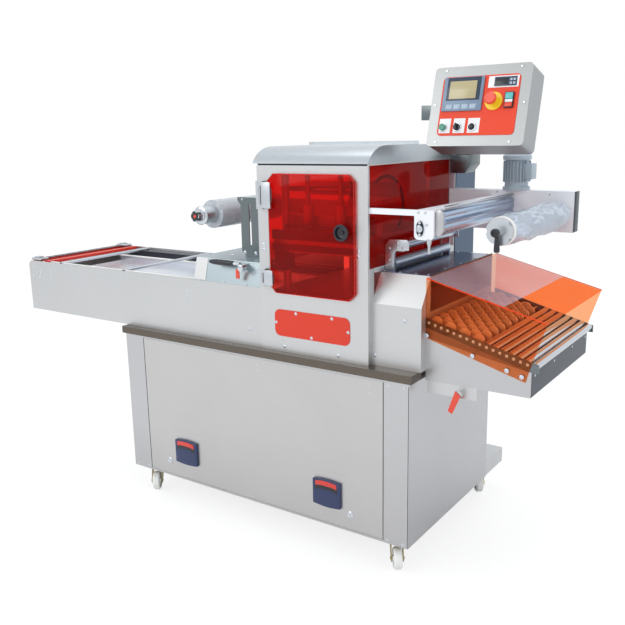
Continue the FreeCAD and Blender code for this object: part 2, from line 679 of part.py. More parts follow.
def castor_wheel(name):
    """White tread with rounded shoulders, a dished web and a hub that runs on the axle."""
    half = S.castor_tread / 2
    bore = S.castor_axle / 2 + S.axle_clearance
    radius = S.castor_wheel / 2
    steps = [
        (bore, -half - S.castor_hub),
        (bore, half + S.castor_hub),
        (bore + S.castor_leg * 2, half + S.castor_hub),
        (bore + S.castor_leg * 3, half - S.castor_dish),
        (radius - S.castor_rim, half - S.castor_dish),
        (radius - S.castor_rim, half),
        (radius - S.castor_shoulder, half),
        (radius, half - S.castor_shoulder),
        (radius, -half + S.castor_shoulder),
        (radius - S.castor_shoulder, -half),
        (radius - S.castor_rim, -half),
        (radius - S.castor_rim, -half + S.castor_dish),
        (bore + S.castor_leg * 3, -half + S.castor_dish),
        (bore + S.castor_leg * 2, -half - S.castor_hub),
    ]
    disc = turned(f"wheel_{name}", "Y", S.castor_trail, 0, -AXLE_DROP, steps, OWN_FRAME)
    return carried(f"wheel_on_axle_{name}", disc)


def castors():
    """Four swivel castors, turned the same way: a fixed plate, a fork that swivels and a wheel in it."""
    places = {
        "front_right": (-S.castor_inset, S.castor_front),
        "front_left": (CABINET_LEFT + S.castor_inset, S.castor_front),
        "rear_right": (-S.castor_inset, S.castor_rear),
        "rear_left": (CABINET_LEFT + S.castor_inset, S.castor_rear),
    }
    plates = []
    for name, (x, y) in places.items():
        plate = box(
            f"castor_plate_{name}", x - S.castor_base / 2, y - S.castor_base / 2, -S.castor_plate,
            S.castor_base, S.castor_base, S.castor_plate,
        )
        cup = rod(f"castor_cup_{name}", "Z", x, y, -S.castor_plate - S.castor_cup, S.castor_neck, S.castor_cup)
        plates.append(fuse(f"castor_top_{name}", plate, cup))
        node(turn(castor_fork(name), S.castor_turn, x, y, 0), f"castor_fork_{name}")
        node(turn(castor_wheel(name), S.castor_turn, x, y, 0), f"castor_wheel_{name}")
    node(fuse("castor_plates", *plates), "castor_plates")


# ----------------------------------------------------------------------------------------------------------- trough
TROUGH_LEFT = place_of("trough_left_end", -S.trough_left)
TROUGH_REAR = place_of("trough_rear_face", S.trough_front + S.trough_width)
TROUGH_LOW = place_of("trough_lower_edge", WORKTOP_TOP + S.seat_gap)
INNER_FRONT = place_of("trough_inner_front", S.trough_front + S.sheet)
INNER_REAR = place_of("trough_inner_rear", TROUGH_REAR - S.sheet)


def infeed_trough():
    """Welded channel: two side plates with a rounded end, a floor and a lower end wall."""
    corners = [
        (TROUGH_LEFT, TROUGH_LOW),
        (TOWER_LEFT, TROUGH_LOW),
        (TOWER_LEFT, S.trough_high),
        (TROUGH_LEFT, S.trough_high),
    ]
    rounds = {3: S.trough_corner}
    front = profile("trough_front", "XZ", corners, S.trough_front, S.sheet, rounds)
    rear = profile("trough_rear", "XZ", corners, INNER_REAR, S.sheet, rounds)
    length = TOWER_LEFT - TROUGH_LEFT
    inside = INNER_REAR - INNER_FRONT
    floor = box("trough_floor_sheet", TROUGH_LEFT, INNER_FRONT, TROUGH_LOW, length, inside, S.sheet)
    end = box(
        "trough_end_sheet", TROUGH_LEFT, INNER_FRONT, TROUGH_LOW, S.sheet, inside,
        S.trough_high - S.trough_corner - TROUGH_LOW,
    )
    node(fuse("infeed_trough", front, rear, floor, end), "infeed_trough")


def tray_pan():
    """Flat pan under the trays, hung between the trough's sides on its turned-up edges."""
    inside = INNER_REAR - INNER_FRONT
    length = TOWER_LEFT - TROUGH_LEFT - S.pan_end
    sheet = box("pan_sheet", TROUGH_LEFT + S.pan_end, INNER_FRONT, S.pan_height - S.sheet, length, inside, S.sheet)
    ribs = []
    for index, y in enumerate((INNER_FRONT + S.pan_rib_front, INNER_REAR - S.pan_rib_rear)):
        ribs.append(box(
            f"pan_rib_{index}", TROUGH_LEFT + S.pan_end, y, S.pan_height, length, S.pan_rib, S.pan_rib_height,
        ))
    node(fuse("tray_pan", sheet, *ribs), "tray_pan")


def chain_rails():
    """Two rails along the sides that guide the chains."""
    top = S.trough_high - S.rail_drop
    length = TOWER_LEFT - TROUGH_LEFT - S.rail_end
    rails = []
    for index, y in enumerate((INNER_FRONT, INNER_REAR - S.rail_width)):
        rails.append(box(
            f"chain_rail_{index}", TROUGH_LEFT + S.rail_end, y, top - S.rail_height, length, S.rail_width,
            S.rail_height,
        ))
    node(fuse("chain_rails", *rails), "chain_rails")


def carrier_bars():
    """Round bars from chain to chain that push the trays along."""
    lying = S.trough_high - S.rail_drop + S.seat_gap + S.bar_diameter / 2
    bars = []
    for index in range(3):
        bars.append(rod(
            f"carrier_bar_{index}", "Y", TROUGH_LEFT + S.bar_first + index * S.bar_pitch,
            INNER_FRONT + S.bar_end, lying, S.bar_diameter, INNER_REAR - INNER_FRONT - 2 * S.bar_end,
        ))
    node(fuse("carrier_bars", *bars), "carrier_bars")


def end_strips():
    """Two red strips across the trough's end, over the turning chains."""
    low = S.trough_high - S.rail_drop + S.seat_gap
    strips = []
    for index, x in enumerate((TROUGH_LEFT + S.strip_first, TROUGH_LEFT + S.strip_first + S.strip_pitch)):
        strips.append(box(
            f"end_strip_{index}", x, INNER_FRONT + S.strip_end, low, S.strip_width,
            INNER_REAR - INNER_FRONT - 2 * S.strip_end, S.strip_height,
        ))
    node(fuse("end_strips", *strips), "end_strips")


def entry_hood():
    """Folded cover over the chain before the tower: a leaning front, a flat top and open ends."""
    low = S.trough_high + S.seat_gap
    front = [
        (S.trough_front, low),
        (S.trough_front + S.hood_lean, S.hood_top),
        (TROUGH_REAR, S.hood_top),
        (TROUGH_REAR, low),
        (TROUGH_REAR - S.sheet, low),
        (TROUGH_REAR - S.sheet, S.hood_top - S.sheet),
        (S.trough_front + S.hood_lean + S.sheet, S.hood_top - S.sheet),
        (S.trough_front + S.sheet, low),
    ]
    sheet = profile("hood_sheet", "YZ", front, -S.hood_left, S.hood_left - S.tower_left - S.seat_gap)
    boss = rod(
        "lever_boss", "Y", -S.lever_left, S.tower_front + S.seat_gap, S.hood_top - S.lever_below, S.lever_boss,
        S.hood_lean,
    )
    node(fuse("entry_hood", sheet, boss), "entry_hood")


# ------------------------------------------------------------------------------------------------------------ tower
TOWER_INNER_FRONT = place_of("tower_inner_front", S.tower_front + S.plate)
WINDOW = {
    "left": -S.window_left,
    "right": -S.window_right,
    "low": S.window_low,
    "high": S.window_high,
}


def cut_corners(left, right, low, high, size):
    """Corners of a rectangle whose four corners are cut off."""
    return [
        (left + size, low),
        (right - size, low),
        (right, low + size),
        (right, high - size),
        (right - size, high),
        (left + size, high),
        (left, high - size),
        (left, low + size),
    ]


def tower_front():
    """Front plate of the tower with its window, and the short return that stiffens its right edge."""
    plate = box(
        "tower_front_plate", TOWER_LEFT, S.tower_front, TROUGH_LOW, S.tower_width, S.plate,
        S.tower_top - TROUGH_LOW,
    )
    opening = profile(
        "tower_window", "XZ",
        cut_corners(WINDOW["left"], WINDOW["right"], WINDOW["low"], WINDOW["high"], S.window_chamfer),
        S.tower_front - 1, S.plate + 2,
    )
    node(cut("tower_front", plate, opening), "tower_front")


def name_plate():
    """Bare red plate held by five studs."""
    plate = profile(
        "name_plate", "XZ",
        [
            (-S.label_left, S.label_low),
            (-S.label_right, S.label_low),
            (-S.label_right, S.label_high),
            (-S.label_left, S.label_high),
        ],
        S.tower_front - S.label_thick, S.label_thick, {index: S.label_round for index in range(4)},
    )
    node(plate, "name_plate")


def tower_shell():
    """Side frames and rear plate; each side has a large window opening and a passage for the trays below it."""
    depth = S.tower_rear - TOWER_INNER_FRONT
    rear = box(
        "tower_rear_plate", TOWER_LEFT + S.plate, S.tower_rear - S.plate, TROUGH_LOW,
        S.tower_width - 2 * S.plate, S.plate, S.roof_eave - TROUGH_LOW,
    )
    pieces = [rear]
    for name, x, sill in (
        ("tower_side_left", TOWER_LEFT, S.hood_top),
        ("tower_side_right", TOWER_RIGHT - S.plate, S.side_opening_low),
    ):
        frame = box(f"{name}_plate", x, TOWER_INNER_FRONT, TROUGH_LOW, S.plate, depth, S.roof_eave - TROUGH_LOW)
        window = box(
            f"{name}_window", x - 1, TOWER_INNER_FRONT + S.side_post, sill + S.side_sill, S.plate + 2,
            S.window_rear - TOWER_INNER_FRONT - S.side_post, S.roof_eave - S.side_rail - sill - S.side_sill,
        )
        passage = box(
            f"{name}_passage", x - 1, INNER_FRONT + S.passage_side, S.pan_height, S.plate + 2,
            INNER_REAR - INNER_FRONT - 2 * S.passage_side, sill - S.pan_height,
        )
        pieces.append(cut(name, frame, window, passage))
    node(fuse("tower_shell", *pieces), "tower_shell")


def side_windows():
    """Orange panes on the inner face of the side frames."""
    panes = []
    for name, x, sill in (
        ("side_window_left", TOWER_LEFT + S.plate, S.hood_top),
        ("side_window_right", TOWER_RIGHT - S.plate - S.side_pane, S.side_opening_low),
    ):
        panes.append(box(
            name, x, TOWER_INNER_FRONT + S.side_post - S.pane_lap, sill + S.side_sill - S.pane_lap, S.side_pane,
            S.window_rear - TOWER_INNER_FRONT - S.side_post + 2 * S.pane_lap,
            S.roof_eave - S.side_rail - sill - S.side_sill + 2 * S.pane_lap,
        ))
    node(fuse("side_windows", *panes), "side_windows")


# the roof's front curve as shares of its depth and height, from the eave to the flat
ROOF_CURVE = (
    (0.02, 0.10), (0.06, 0.24), (0.13, 0.40), (0.23, 0.56), (0.36, 0.71), (0.52, 0.84), (0.74, 0.94), (1.0, 1.0),
)


def tower_roof():
    """Roof sheet with a curved front, a lip past the left side and a low ridge at its rear."""
    left = TOWER_LEFT - S.roof_lip
    corners = [(S.tower_front, S.roof_eave)]
    for along, up in ROOF_CURVE:
        corners.append((
            S.tower_front + S.roof_curve * along,
            S.roof_eave + (S.roof_front - S.roof_eave) * up,
        ))
    corners += [
        (S.tower_rear, S.roof_rear),
        (S.tower_rear, S.roof_eave),
    ]
    shell = profile("roof_shell", "YZ", corners, left, S.tower_width + S.roof_lip)
    ridge = box(
        "roof_ridge", TOWER_LEFT + S.ridge_in, S.tower_rear - S.ridge_deep, S.roof_rear - S.ridge_tall,
        S.tower_width - S.ridge_in, S.ridge_deep, 2 * S.ridge_tall,
    )
    node(fuse("tower_roof", shell, ridge), "tower_roof")


HINGE_X = place_of("hinge_axis_x", -S.hinge_axis)
HINGE_Y = place_of("hinge_axis_y", DOOR_FRONT - S.hinge_pin / 2)
HINGES = (
    (S.hinge_low, S.hinge_short),
    (S.hinge_high - S.hinge_long, S.hinge_long),
)


def door_hinges():
    """Fixed halves of two hinges: a leaf on the tower's front, two barrel ends and the pin between them."""
    pieces = []
    for index, (low, tall) in enumerate(HINGES):
        leaf = box(
            f"hinge_leaf_{index}", -S.hinge_left, HINGE_Y - S.hinge_pin / 2, low, S.hinge_left - S.hinge_axis,
            S.tower_front - HINGE_Y + S.hinge_pin / 2, tall,
        )
        room = rod(
            f"hinge_room_{index}", "Z", HINGE_X, HINGE_Y, low + tall / 4 - S.hinge_play,
            2 * S.hinge_pin + 2 * S.hinge_play, tall / 2 + 2 * S.hinge_play,
        )
        barrel = cut(
            f"hinge_fixed_{index}",
            fuse(
                f"hinge_whole_{index}", leaf,
                rod(f"hinge_barrel_{index}", "Z", HINGE_X, HINGE_Y, low, 2 * S.hinge_pin, tall),
            ),
            room,
        )
        pin = rod(f"hinge_pin_{index}", "Z", HINGE_X, HINGE_Y, low, S.hinge_pin, tall)
        pieces.append(fuse(f"hinge_half_{index}", barrel, pin))
    node(fuse("door_hinges", *pieces), "door_hinges")


def front_door():
    """Orange pane in front of the window with its moving hinge halves, and a cup knob at its free edge."""
    lap = S.pane_lap
    front = DOOR_FRONT
    pane = profile(
        "door_pane", "XZ",
        cut_corners(
            HINGE_X + S.hinge_pin + S.hinge_play, WINDOW["right"] + lap, WINDOW["low"] - lap,
            WINDOW["high"] + lap, S.window_chamfer,
        ),
        front, S.pane_thick,
    )
    node(pane, "front_door")
    pieces = []
    for index, (low, tall) in enumerate(HINGES):
        start = low + tall / 4
        barrel = rod(f"door_barrel_{index}", "Z", HINGE_X, HINGE_Y, start, 2 * S.hinge_pin, tall / 2)
        leaf = box(
            f"door_leaf_{index}", HINGE_X, front - S.hinge_pin / 2, start, S.hinge_leaf, S.hinge_pin / 2, tall / 2,
        )
        bore = rod(
            f"door_bore_{index}", "Z", HINGE_X, HINGE_Y, start - 1, S.hinge_pin + 2 * S.axle_clearance,
            tall / 2 + 2,
        )
        pieces.append(cut(f"door_half_{index}", fuse(f"door_half_whole_{index}", barrel, leaf), bore))
    node(fuse("door_leaves", *pieces), "door_leaves")
    knob = turned(
        "door_knob", "Y", -S.knob_left, KNOB_FRONT, S.knob_height,
        [
            (0, 0),
            (S.knob_diameter / 2 - 3, 0),
            (S.knob_diameter / 2, 4),
            (S.knob_diameter / 2 - 3, S.knob_deep - 6),
            (S.knob_diameter / 4, S.knob_deep),
            (0, S.knob_deep),
        ],
    )
    node(knob, "door_knob")


# ----------------------------------------------------------------------------------------------- inside the tower
def sealing_heads():
    """Lower die block, and the upper head on four columns between the die and the roof, with its cross beams."""
    left = TOWER_LEFT + S.plate + S.die_side
    length = S.tower_width - 2 * (S.plate + S.die_side)
    front = TOWER_INNER_FRONT + S.die_front
    depth = S.window_rear - front - S.die_rear
    node(box("lower_die", left, front, TROUGH_LOW, length, depth, S.die_top - TROUGH_LOW), "lower_die")
    pieces = [box("head_block", left, front, S.head_low, length, depth, S.head_tall)]
    for index in range(2):
        y = front + S.beam_in + index * (depth - 2 * S.beam_in - S.head_beam)
        pieces.append(box(
            f"head_beam_{index}", left, y, S.head_low + S.head_tall, length, S.head_beam, S.head_beam_tall,
        ))
    for index in range(4):
        x = left + S.column_in + (index % 2) * (length - 2 * S.column_in)
        y = front + S.column_in + (index // 2) * (depth - 2 * S.column_in)
        pieces.append(rod(
            f"guide_column_{index}", "Z", x, y, S.die_top, S.column_diameter, S.roof_eave - S.die_top,
        ))
    node(fuse("upper_head", *pieces), "upper_head")


# ---------------------------------------------------------------------------------------------------------- outfeed
def outfeed_front():
    """Cheek right of the tower, upright below and leaning back to the deck, over the trays' way out."""
    corners = [
        (S.ledge_front, TROUGH_LOW),
        (S.ledge_front, S.ledge_height),
        (S.deck_front, S.deck_height),
        (S.deck_rear, S.deck_height),
        (S.deck_rear, TROUGH_LOW),
    ]
    block = profile("cheek_block", "YZ", corners, TOWER_RIGHT, S.deck_right - TOWER_RIGHT)
    passage = box(
        "cheek_passage", TOWER_RIGHT - 1, S.deck_front + S.sheet, S.passage_low, S.deck_right - TOWER_RIGHT + 2,
        S.deck_rear - S.deck_front - 2 * S.sheet, S.deck_height - S.plate - S.passage_low,
    )
    node(cut("outfeed_cheek", block, passage), "outfeed_cheek")


def outfeed_housing():
    """Box with a sloping top under the wheel bed."""
    corners = [
        (S.deck_right, S.housing_low),
        (S.housing_right, S.housing_low),
        (S.housing_right, S.housing_high_right),
        (S.deck_right, S.housing_high_left),
    ]
    shell = profile(
        "outfeed_housing", "XZ", corners, S.housing_front, S.housing_rear - S.housing_front,
    )
    node(shell, "outfeed_housing")


def deck():
    """Dark polished deck between the tower and the outfeed bed."""
    sheet = box(
        "deck", TOWER_RIGHT, S.deck_front, S.deck_height, S.deck_right - TOWER_RIGHT, S.deck_rear - S.deck_front,
        S.sheet,
    )
    node(sheet, "deck")


def deck_profiles():
    """Two bars along the deck, each end held by a bracket plate shaped like a seven."""
    left = TOWER_RIGHT + S.profile_left
    foot = S.deck_height + S.sheet
    top = foot + S.bracket_tall
    right = left + S.bracket_wide
    under = top - S.bracket_arm
    waist = left + S.bracket_stem
    corners = [
        (left, foot),
        (waist, foot),
        (waist, under - S.bracket_step),
        (waist + S.bracket_step, under),
        (right, under),
        (right, top - S.bracket_step),
        (right - S.bracket_step, top),
        (left + S.bracket_step, top),
        (left, top - S.bracket_step),
    ]
    pieces = []
    front = S.deck_front + S.profile_in
    length = S.deck_rear - S.deck_front - 2 * S.profile_in
    for index, y in enumerate((front, front + length - S.plate)):
        pieces.append(profile(f"deck_bracket_{index}", "XZ", corners, y, S.plate))
    pieces.append(rod(
        "deck_bar_upper", "Y", right - S.bracket_arm / 2 - S.bracket_step, front + S.plate / 2,
        top - S.bracket_arm / 2, S.upper_bar, length - S.plate,
    ))
    pieces.append(rod(
        "deck_bar_lower", "Y", left + S.lower_bar / 2, front + S.plate / 2, foot + S.lower_bar / 2 + S.bracket_step,
        S.lower_bar, length - S.plate,
    ))
    node(fuse("deck_profiles", *pieces), "deck_profiles")


BED_FALL = (S.housing_high_left - S.housing_high_right) / (S.housing_right - S.deck_right)


def bed_height(x):
    """Height of the bed's axles at a place along the machine."""
    return S.housing_high_left - (x - S.deck_right) * BED_FALL + S.bed_rise


def conveyor_frame():
    """Two side rails along the sloping top of the housing."""
    rails = []
    right = S.housing_right + S.frame_past
    for index, y in enumerate((S.housing_front, S.housing_rear - S.frame_thick)):
        corners = [
            (S.deck_right, bed_height(S.deck_right) - S.bed_rise),
            (S.housing_right, bed_height(S.housing_right) - S.bed_rise),
            (right, S.housing_high_right),
            (right, bed_height(right) + S.frame_over),
            (S.deck_right, bed_height(S.deck_right) + S.frame_over),
        ]
        rails.append(profile(f"frame_rail_{index}", "XZ", corners, y, S.frame_thick))
    node(fuse("conveyor_frame", *rails), "conveyor_frame")


def wheel_bed():
    """Axles across the bed that carry staggered small wheels."""
    inside = S.housing_rear - S.housing_front - 2 * S.frame_thick
    pieces = []
    for row in range(int(S.wheel_axles.number)):
        x = S.deck_right + S.wheel_first + row * S.wheel_pitch
        z = bed_height(x)
        pieces.append(rod(
            f"wheel_axle_{row}", "Y", x, S.housing_front + S.frame_thick, z, S.wheel_axle, inside,
        ))
        shift = (row % 2) * S.wheel_spacing / 2
        for column in range(int(S.wheel_columns.number)):
            y = S.housing_front + S.frame_thick + S.wheel_side + column * S.wheel_spacing + shift
            pieces.append(rod(f"small_wheel_{row}_{column}", "Y", x, y, z, S.wheel_diameter, S.wheel_width))
    node(fuse("wheel_bed", *pieces), "wheel_bed")


def roller_bed():
    """Full rollers after the small wheels."""
    inside = S.housing_rear - S.housing_front - 2 * S.frame_thick
    first = S.deck_right + S.wheel_first + S.wheel_pitch * S.wheel_axles + S.roller_lead
    rollers = []
    for index in range(int(S.roller_count.number)):
        x = first + index * S.roller_pitch
        rollers.append(rod(
            f"roller_{index}", "Y", x, S.housing_front + S.frame_thick, bed_height(x), S.roller_diameter, inside,
        ))
    node(fuse("roller_bed", *rollers), "roller_bed")


def guard():
    """Orange hood over the outfeed: a front sheet, a rear sheet and the sloping top they carry."""
    outer = S.guard_thick
    crease_left = S.deck_height
    crease_right = S.deck_height - S.guard_fall
    side = [
        (S.deck_right, S.housing_high_left - S.guard_hang),
        (S.housing_right - S.guard_lap * 2, S.housing_high_right - S.guard_hang),
        (S.housing_right - S.guard_lap, S.housing_high_right),
        (S.guard_right, crease_right),
        (S.deck_right, crease_left),
    ]
    top = [
        (S.deck_right, crease_left - outer),
        (S.guard_right, crease_right - outer),
        (S.guard_right, crease_right),
        (S.deck_right, crease_left),
    ]
    front = profile("guard_front", "XZ", side, S.housing_front - outer, outer)
    rear = profile("guard_rear", "XZ", side, S.housing_rear, outer)
    cover = profile("guard_top", "XZ", top, S.housing_front - outer, S.housing_rear - S.housing_front + 2 * outer)
    node(fuse("guard", front, rear, cover), "guard")


def toggle_clamp():
    """Clamp under the outfeed: a plate with a boss, and a lever with a red grip that turns on it."""
    front = S.housing_front
    plate = box(
        "clamp_plate", S.clamp_left, front, S.housing_low - S.clamp_tall, S.clamp_long, S.plate, S.clamp_tall,
    )
    boss = rod(
        "clamp_boss", "Y", S.clamp_boss_right, front - S.clamp_boss, S.housing_low - S.clamp_tall / 2,
        S.clamp_boss, S.clamp_boss,
    )
    node(fuse("toggle_plate", plate, boss), "toggle_plate")
    lever_front = front - S.clamp_boss - S.seat_gap - S.plate
    lever = profile(
        "toggle_lever", "XZ",
        [
            (S.clamp_boss_right - 9, S.housing_low - S.clamp_tall / 2 + 10),
            (S.clamp_boss_right - S.lever_reach - 8, S.housing_low - S.clamp_tall / 2 - S.lever_drop),
            (S.clamp_boss_right - S.lever_reach + 8, S.housing_low - S.clamp_tall / 2 - S.lever_drop - 8),
            (S.clamp_boss_right + 9, S.housing_low - S.clamp_tall / 2 - 6),
        ],
        lever_front, S.plate,
    )
    node(lever, "toggle_lever")


# -------------------------------------------------------------------------------------------------------- film unit
def film_beam():
    """Deep folded beam behind the reel and its dark end."""
    wall = S.sheet
    corners = [
        (S.beam_front, S.beam_low),
        (S.beam_front + S.beam_depth, S.beam_low),
        (S.beam_front + S.beam_depth, S.beam_high),
        (S.beam_front, S.beam_high),
    ]
    outer = profile("beam_outer", "YZ", corners, TOWER_RIGHT, S.beam_right - TOWER_RIGHT)
    inner = box(
        "beam_inner", TOWER_RIGHT - 1, S.beam_front + wall, S.beam_low + wall, S.beam_right - TOWER_RIGHT + 2,
        S.beam_depth - 2 * wall, S.beam_high - S.beam_low - 2 * wall,
    )
    cap = box(
        "beam_cap", S.beam_right, S.beam_front, S.beam_low, S.sheet, S.beam_depth, S.beam_high - S.beam_low,
    )
    bearing = turned(
        "reel_bearing", "Y", S.reel_right, S.beam_front - S.boss_long, S.reel_height,
        [
            (S.shaft / 2 + S.axle_clearance, 0),
            (S.shaft, 0),
            (S.shaft * 1.4, S.boss_long),
            (S.shaft / 2 + S.axle_clearance, S.boss_long),
        ],
    )
    node(fuse("film_beam", cut("beam_tube", outer, inner), cap, bearing), "film_beam")


def film_arm():
    """Flat bar from the tower's front with an end plate, and the cover bar back to the beam."""
    bar = box(
        "arm_bar", TOWER_RIGHT, S.arm_front, S.arm_low, S.arm_right - TOWER_RIGHT, S.arm_thick,
        S.arm_high - S.arm_low,
    )
    plate = profile(
        "arm_plate", "XZ",
        [
            (S.arm_right - S.arm_plate_wide, S.arm_low - S.arm_plate_drop),
            (S.arm_right, S.arm_low - S.arm_plate_drop),
            (S.arm_right, S.arm_low),
            (S.arm_right - S.arm_plate_wide, S.arm_low),
        ],
        S.arm_front, S.arm_thick, {0: 16, 1: 16},
    )
    cover = box(
        "cover_bar", S.arm_right - S.cover_bar_wide, S.arm_front + S.arm_thick, S.arm_high - S.cover_bar_tall,
        S.cover_bar_wide, S.beam_front - S.arm_front - S.arm_thick, S.cover_bar_tall,
    )
    node(fuse("film_arm", bar, plate, cover), "film_arm")


def guide_rollers():
    """Two idle rollers that carry the film web from the reel into the tower."""
    front = S.arm_front + S.arm_thick + S.seat_gap
    for name, x, z in (
        ("guide_roller_upper", S.arm_right - S.upper_in, S.arm_low - S.upper_drop),
        ("guide_roller_lower", S.arm_right - S.lower_in, S.arm_low - S.lower_drop),
    ):
        node(rod(name, "Y", x, front, z, S.guide_diameter, S.beam_front - front - S.seat_gap), name)


def scallops(name, y, depth, x, z, reach, diameter):
    """Round cutters set evenly about an axis along Y, for a hub or knob with five lobes."""
    cutters = []
    for index in range(LOBES):
        angle = 2 * math.pi * (index + 0.5) / LOBES
        cutters.append(rod(
            f"{name}_{index}", "Y", x + reach * math.cos(angle), y, z + reach * math.sin(angle), diameter, depth,
        ))
    return cutters


def unwind_reel():
    """Film reel on a shaft held by the rear beam."""
    hub = turned(
        "unwind_shaft", "Y", S.reel_right, S.reel_front - S.shaft_past, S.reel_height,
        [
            (0, 0),
            (S.shaft / 2, 0),
            (S.shaft / 2, S.shaft_past),
            (S.film_diameter / 2, S.shaft_past),
            (S.film_diameter / 2, S.shaft_past + S.hub_thick),
            (S.shaft / 2, S.shaft_past + S.hub_thick),
            (S.shaft / 2, S.beam_front - S.reel_front + S.shaft_past - S.seat_gap),
            (0, S.beam_front - S.reel_front + S.shaft_past - S.seat_gap),
        ],
    )
    notches = scallops(
        "hub_notch", S.reel_front - 1, S.hub_thick + 1, S.reel_right, S.reel_height,
        S.film_diameter / 2 + S.hub_notch / 3, S.hub_notch,
    )
    node(cut("unwind_hub", hub, *notches), "unwind_hub")
    film = turned(
        "film_roll", "Y", S.reel_right, S.reel_front + S.hub_thick + S.seat_gap, S.reel_height,
        [
            (S.shaft / 2, 0),
            (S.film_diameter / 2, 0),
            (S.film_diameter / 2, S.beam_front - S.boss_long - S.film_end - S.reel_front - S.hub_thick),
            (S.shaft / 2, S.beam_front - S.boss_long - S.film_end - S.reel_front - S.hub_thick),
        ],
    )
    node(film, "film_roll")


def rewind_reel():
    """Waste film reel held by an arm from the tower's left side, with a star knob on its free end."""
    arm_y = S.reel_arm_rear
    arm = box(
        "reel_arm_plate", -S.rewind_left - S.reel_arm_end, arm_y, S.rewind_height - S.reel_arm_tall / 2,
        S.rewind_left + S.reel_arm_end - S.tower_left, S.plate, S.reel_arm_tall,
    )
    bore = rod(
        "reel_arm_bore", "Y", -S.rewind_left, arm_y - 1, S.rewind_height, S.shaft + 2 * S.axle_clearance,
        S.plate + 2,
    )
    foot = box(
        "reel_arm_foot", -S.tower_left - S.plate, arm_y, S.rewind_height - S.reel_arm_tall / 2, S.plate,
        S.reel_arm_foot, S.reel_arm_tall,
    )
    node(cut("reel_arm", fuse("reel_arm_whole", arm, foot), bore), "reel_arm")
    length = arm_y - S.rewind_front - S.seat_gap
    core = turned(
        "rewind_turned", "Y", -S.rewind_left, S.rewind_front, S.rewind_height,
        [
            (0, 0),
            (S.star_diameter / 2, 0),
            (S.star_diameter / 2, S.star_deep),
            (S.shaft / 2, S.star_deep),
            (S.shaft / 2, S.star_deep + S.star_gap),
            (S.core_diameter / 2, S.star_deep + S.star_gap),
            (S.core_diameter / 2, length),
            (S.shaft / 2, length),
            (S.shaft / 2, length + S.plate + S.seat_gap + 6),
            (0, length + S.plate + S.seat_gap + 6),
        ],
    )
    notches = scallops(
        "star_notch", S.rewind_front - 1, S.star_deep - S.star_gap / 2, -S.rewind_left, S.rewind_height,
        S.star_diameter / 2 + S.star_notch / 4, S.star_notch,
    )
    node(cut("rewind_core", core, *notches), "rewind_core")
    film_start = S.star_deep + S.star_gap + S.core_bare
    film = turned(
        "waste_film", "Y", -S.rewind_left, S.rewind_front + film_start, S.rewind_height,
        [
            (S.core_diameter / 2, 0),
            (S.rewind_film / 2, 0),
            (S.rewind_film / 2, length - film_start - S.film_end),
            (S.core_diameter / 2, length - film_start - S.film_end),
        ],
    )
    node(film, "waste_film")


def slotted_bracket():
    """Slotted plate that stands on the hood, and the rod that ties it to the tower."""
    left = -S.slot_left
    right = left + S.slot_width
    corners = [
        (left + S.slot_cut, S.hood_top + S.seat_gap),
        (right, S.hood_top + S.seat_gap),
        (right, S.slot_top),
        (left - S.slot_ear, S.slot_top),
        (left - S.slot_ear, S.slot_top - S.slot_ear),
        (left, S.slot_top - 2 * S.slot_ear),
        (left, S.hood_top + S.slot_cut),
    ]
    plate = profile("slotted_plate", "XZ", corners, S.slot_front, S.plate)
    slot = box(
        "slot_hole", (left + right) / 2 - S.slot_open / 2, S.slot_front - 1, S.hood_top + S.slot_low,
        S.slot_open, S.plate + 2, S.slot_long,
    )
    tie = box("slot_tie", right, S.slot_front, S.slot_top - S.slot_tie, TOWER_LEFT - right, S.plate, S.slot_tie)
    node(cut("slotted_bracket", fuse("slotted_whole", plate, tie), slot), "slotted_bracket")


def hood_lever():
    """Clamping lever before the hood's leaning front: a hub with a red tag and an arm with a black grip."""
    front = S.tower_front - S.lever_proud
    height = S.hood_top - S.lever_below
    hub = rod("lever_hub", "Y", -S.lever_left, front, height, S.lever_hub, S.lever_proud)
    middle = front + S.lever_proud / 2
    arm = rod(
        "lever_arm", "X", -S.lever_left - S.lever_long, middle, height + S.lever_up, S.lever_grip,
        S.lever_long,
    )
    tag = box(
        "lever_tag", -S.lever_left - S.lever_hub, middle, height - S.lever_tag, S.lever_tag_wide,
        S.plate, S.lever_tag,
    )
    node(fuse("hood_lever", hub, arm, tag), "hood_lever")


def drive_motor():
    """Finned motor standing on the rear beam, with its fan cover and terminal box."""
    base = S.beam_high
    fins = int(S.motor_fins.number)
    flange = S.motor_diameter / 2 + S.motor_flange_past
    steps = [(0, 0), (flange, 0), (flange, S.motor_flange)]
    z = S.motor_flange
    fin = (S.motor_height - S.motor_flange - S.motor_cover) / fins
    for _ in range(fins):
        steps.append((S.motor_diameter / 2 - S.motor_fin, z))
        steps.append((S.motor_diameter / 2 - S.motor_fin, z + fin / 2))
        steps.append((S.motor_diameter / 2, z + fin / 2))
        steps.append((S.motor_diameter / 2, z + fin))
        z = z + fin
    steps += [
        (S.motor_diameter / 2 + S.motor_cover_past, z),
        (S.motor_diameter / 2 + S.motor_cover_past, z + S.motor_cover - S.motor_cover_curve),
        (S.motor_diameter / 2 + S.motor_cover_past - S.motor_cover_curve, z + S.motor_cover),
        (0, z + S.motor_cover),
    ]
    body = turned("motor_body", "Z", S.motor_left, S.motor_rear, base, steps)
    terminals = box(
        "motor_terminals", S.motor_left, S.motor_rear - S.terminal_wide / 2, base + S.terminal_low,
        S.motor_diameter / 2 + S.terminal_past, S.terminal_wide, S.terminal_tall,
    )
    node(fuse("drive_motor", body, terminals), "drive_motor")


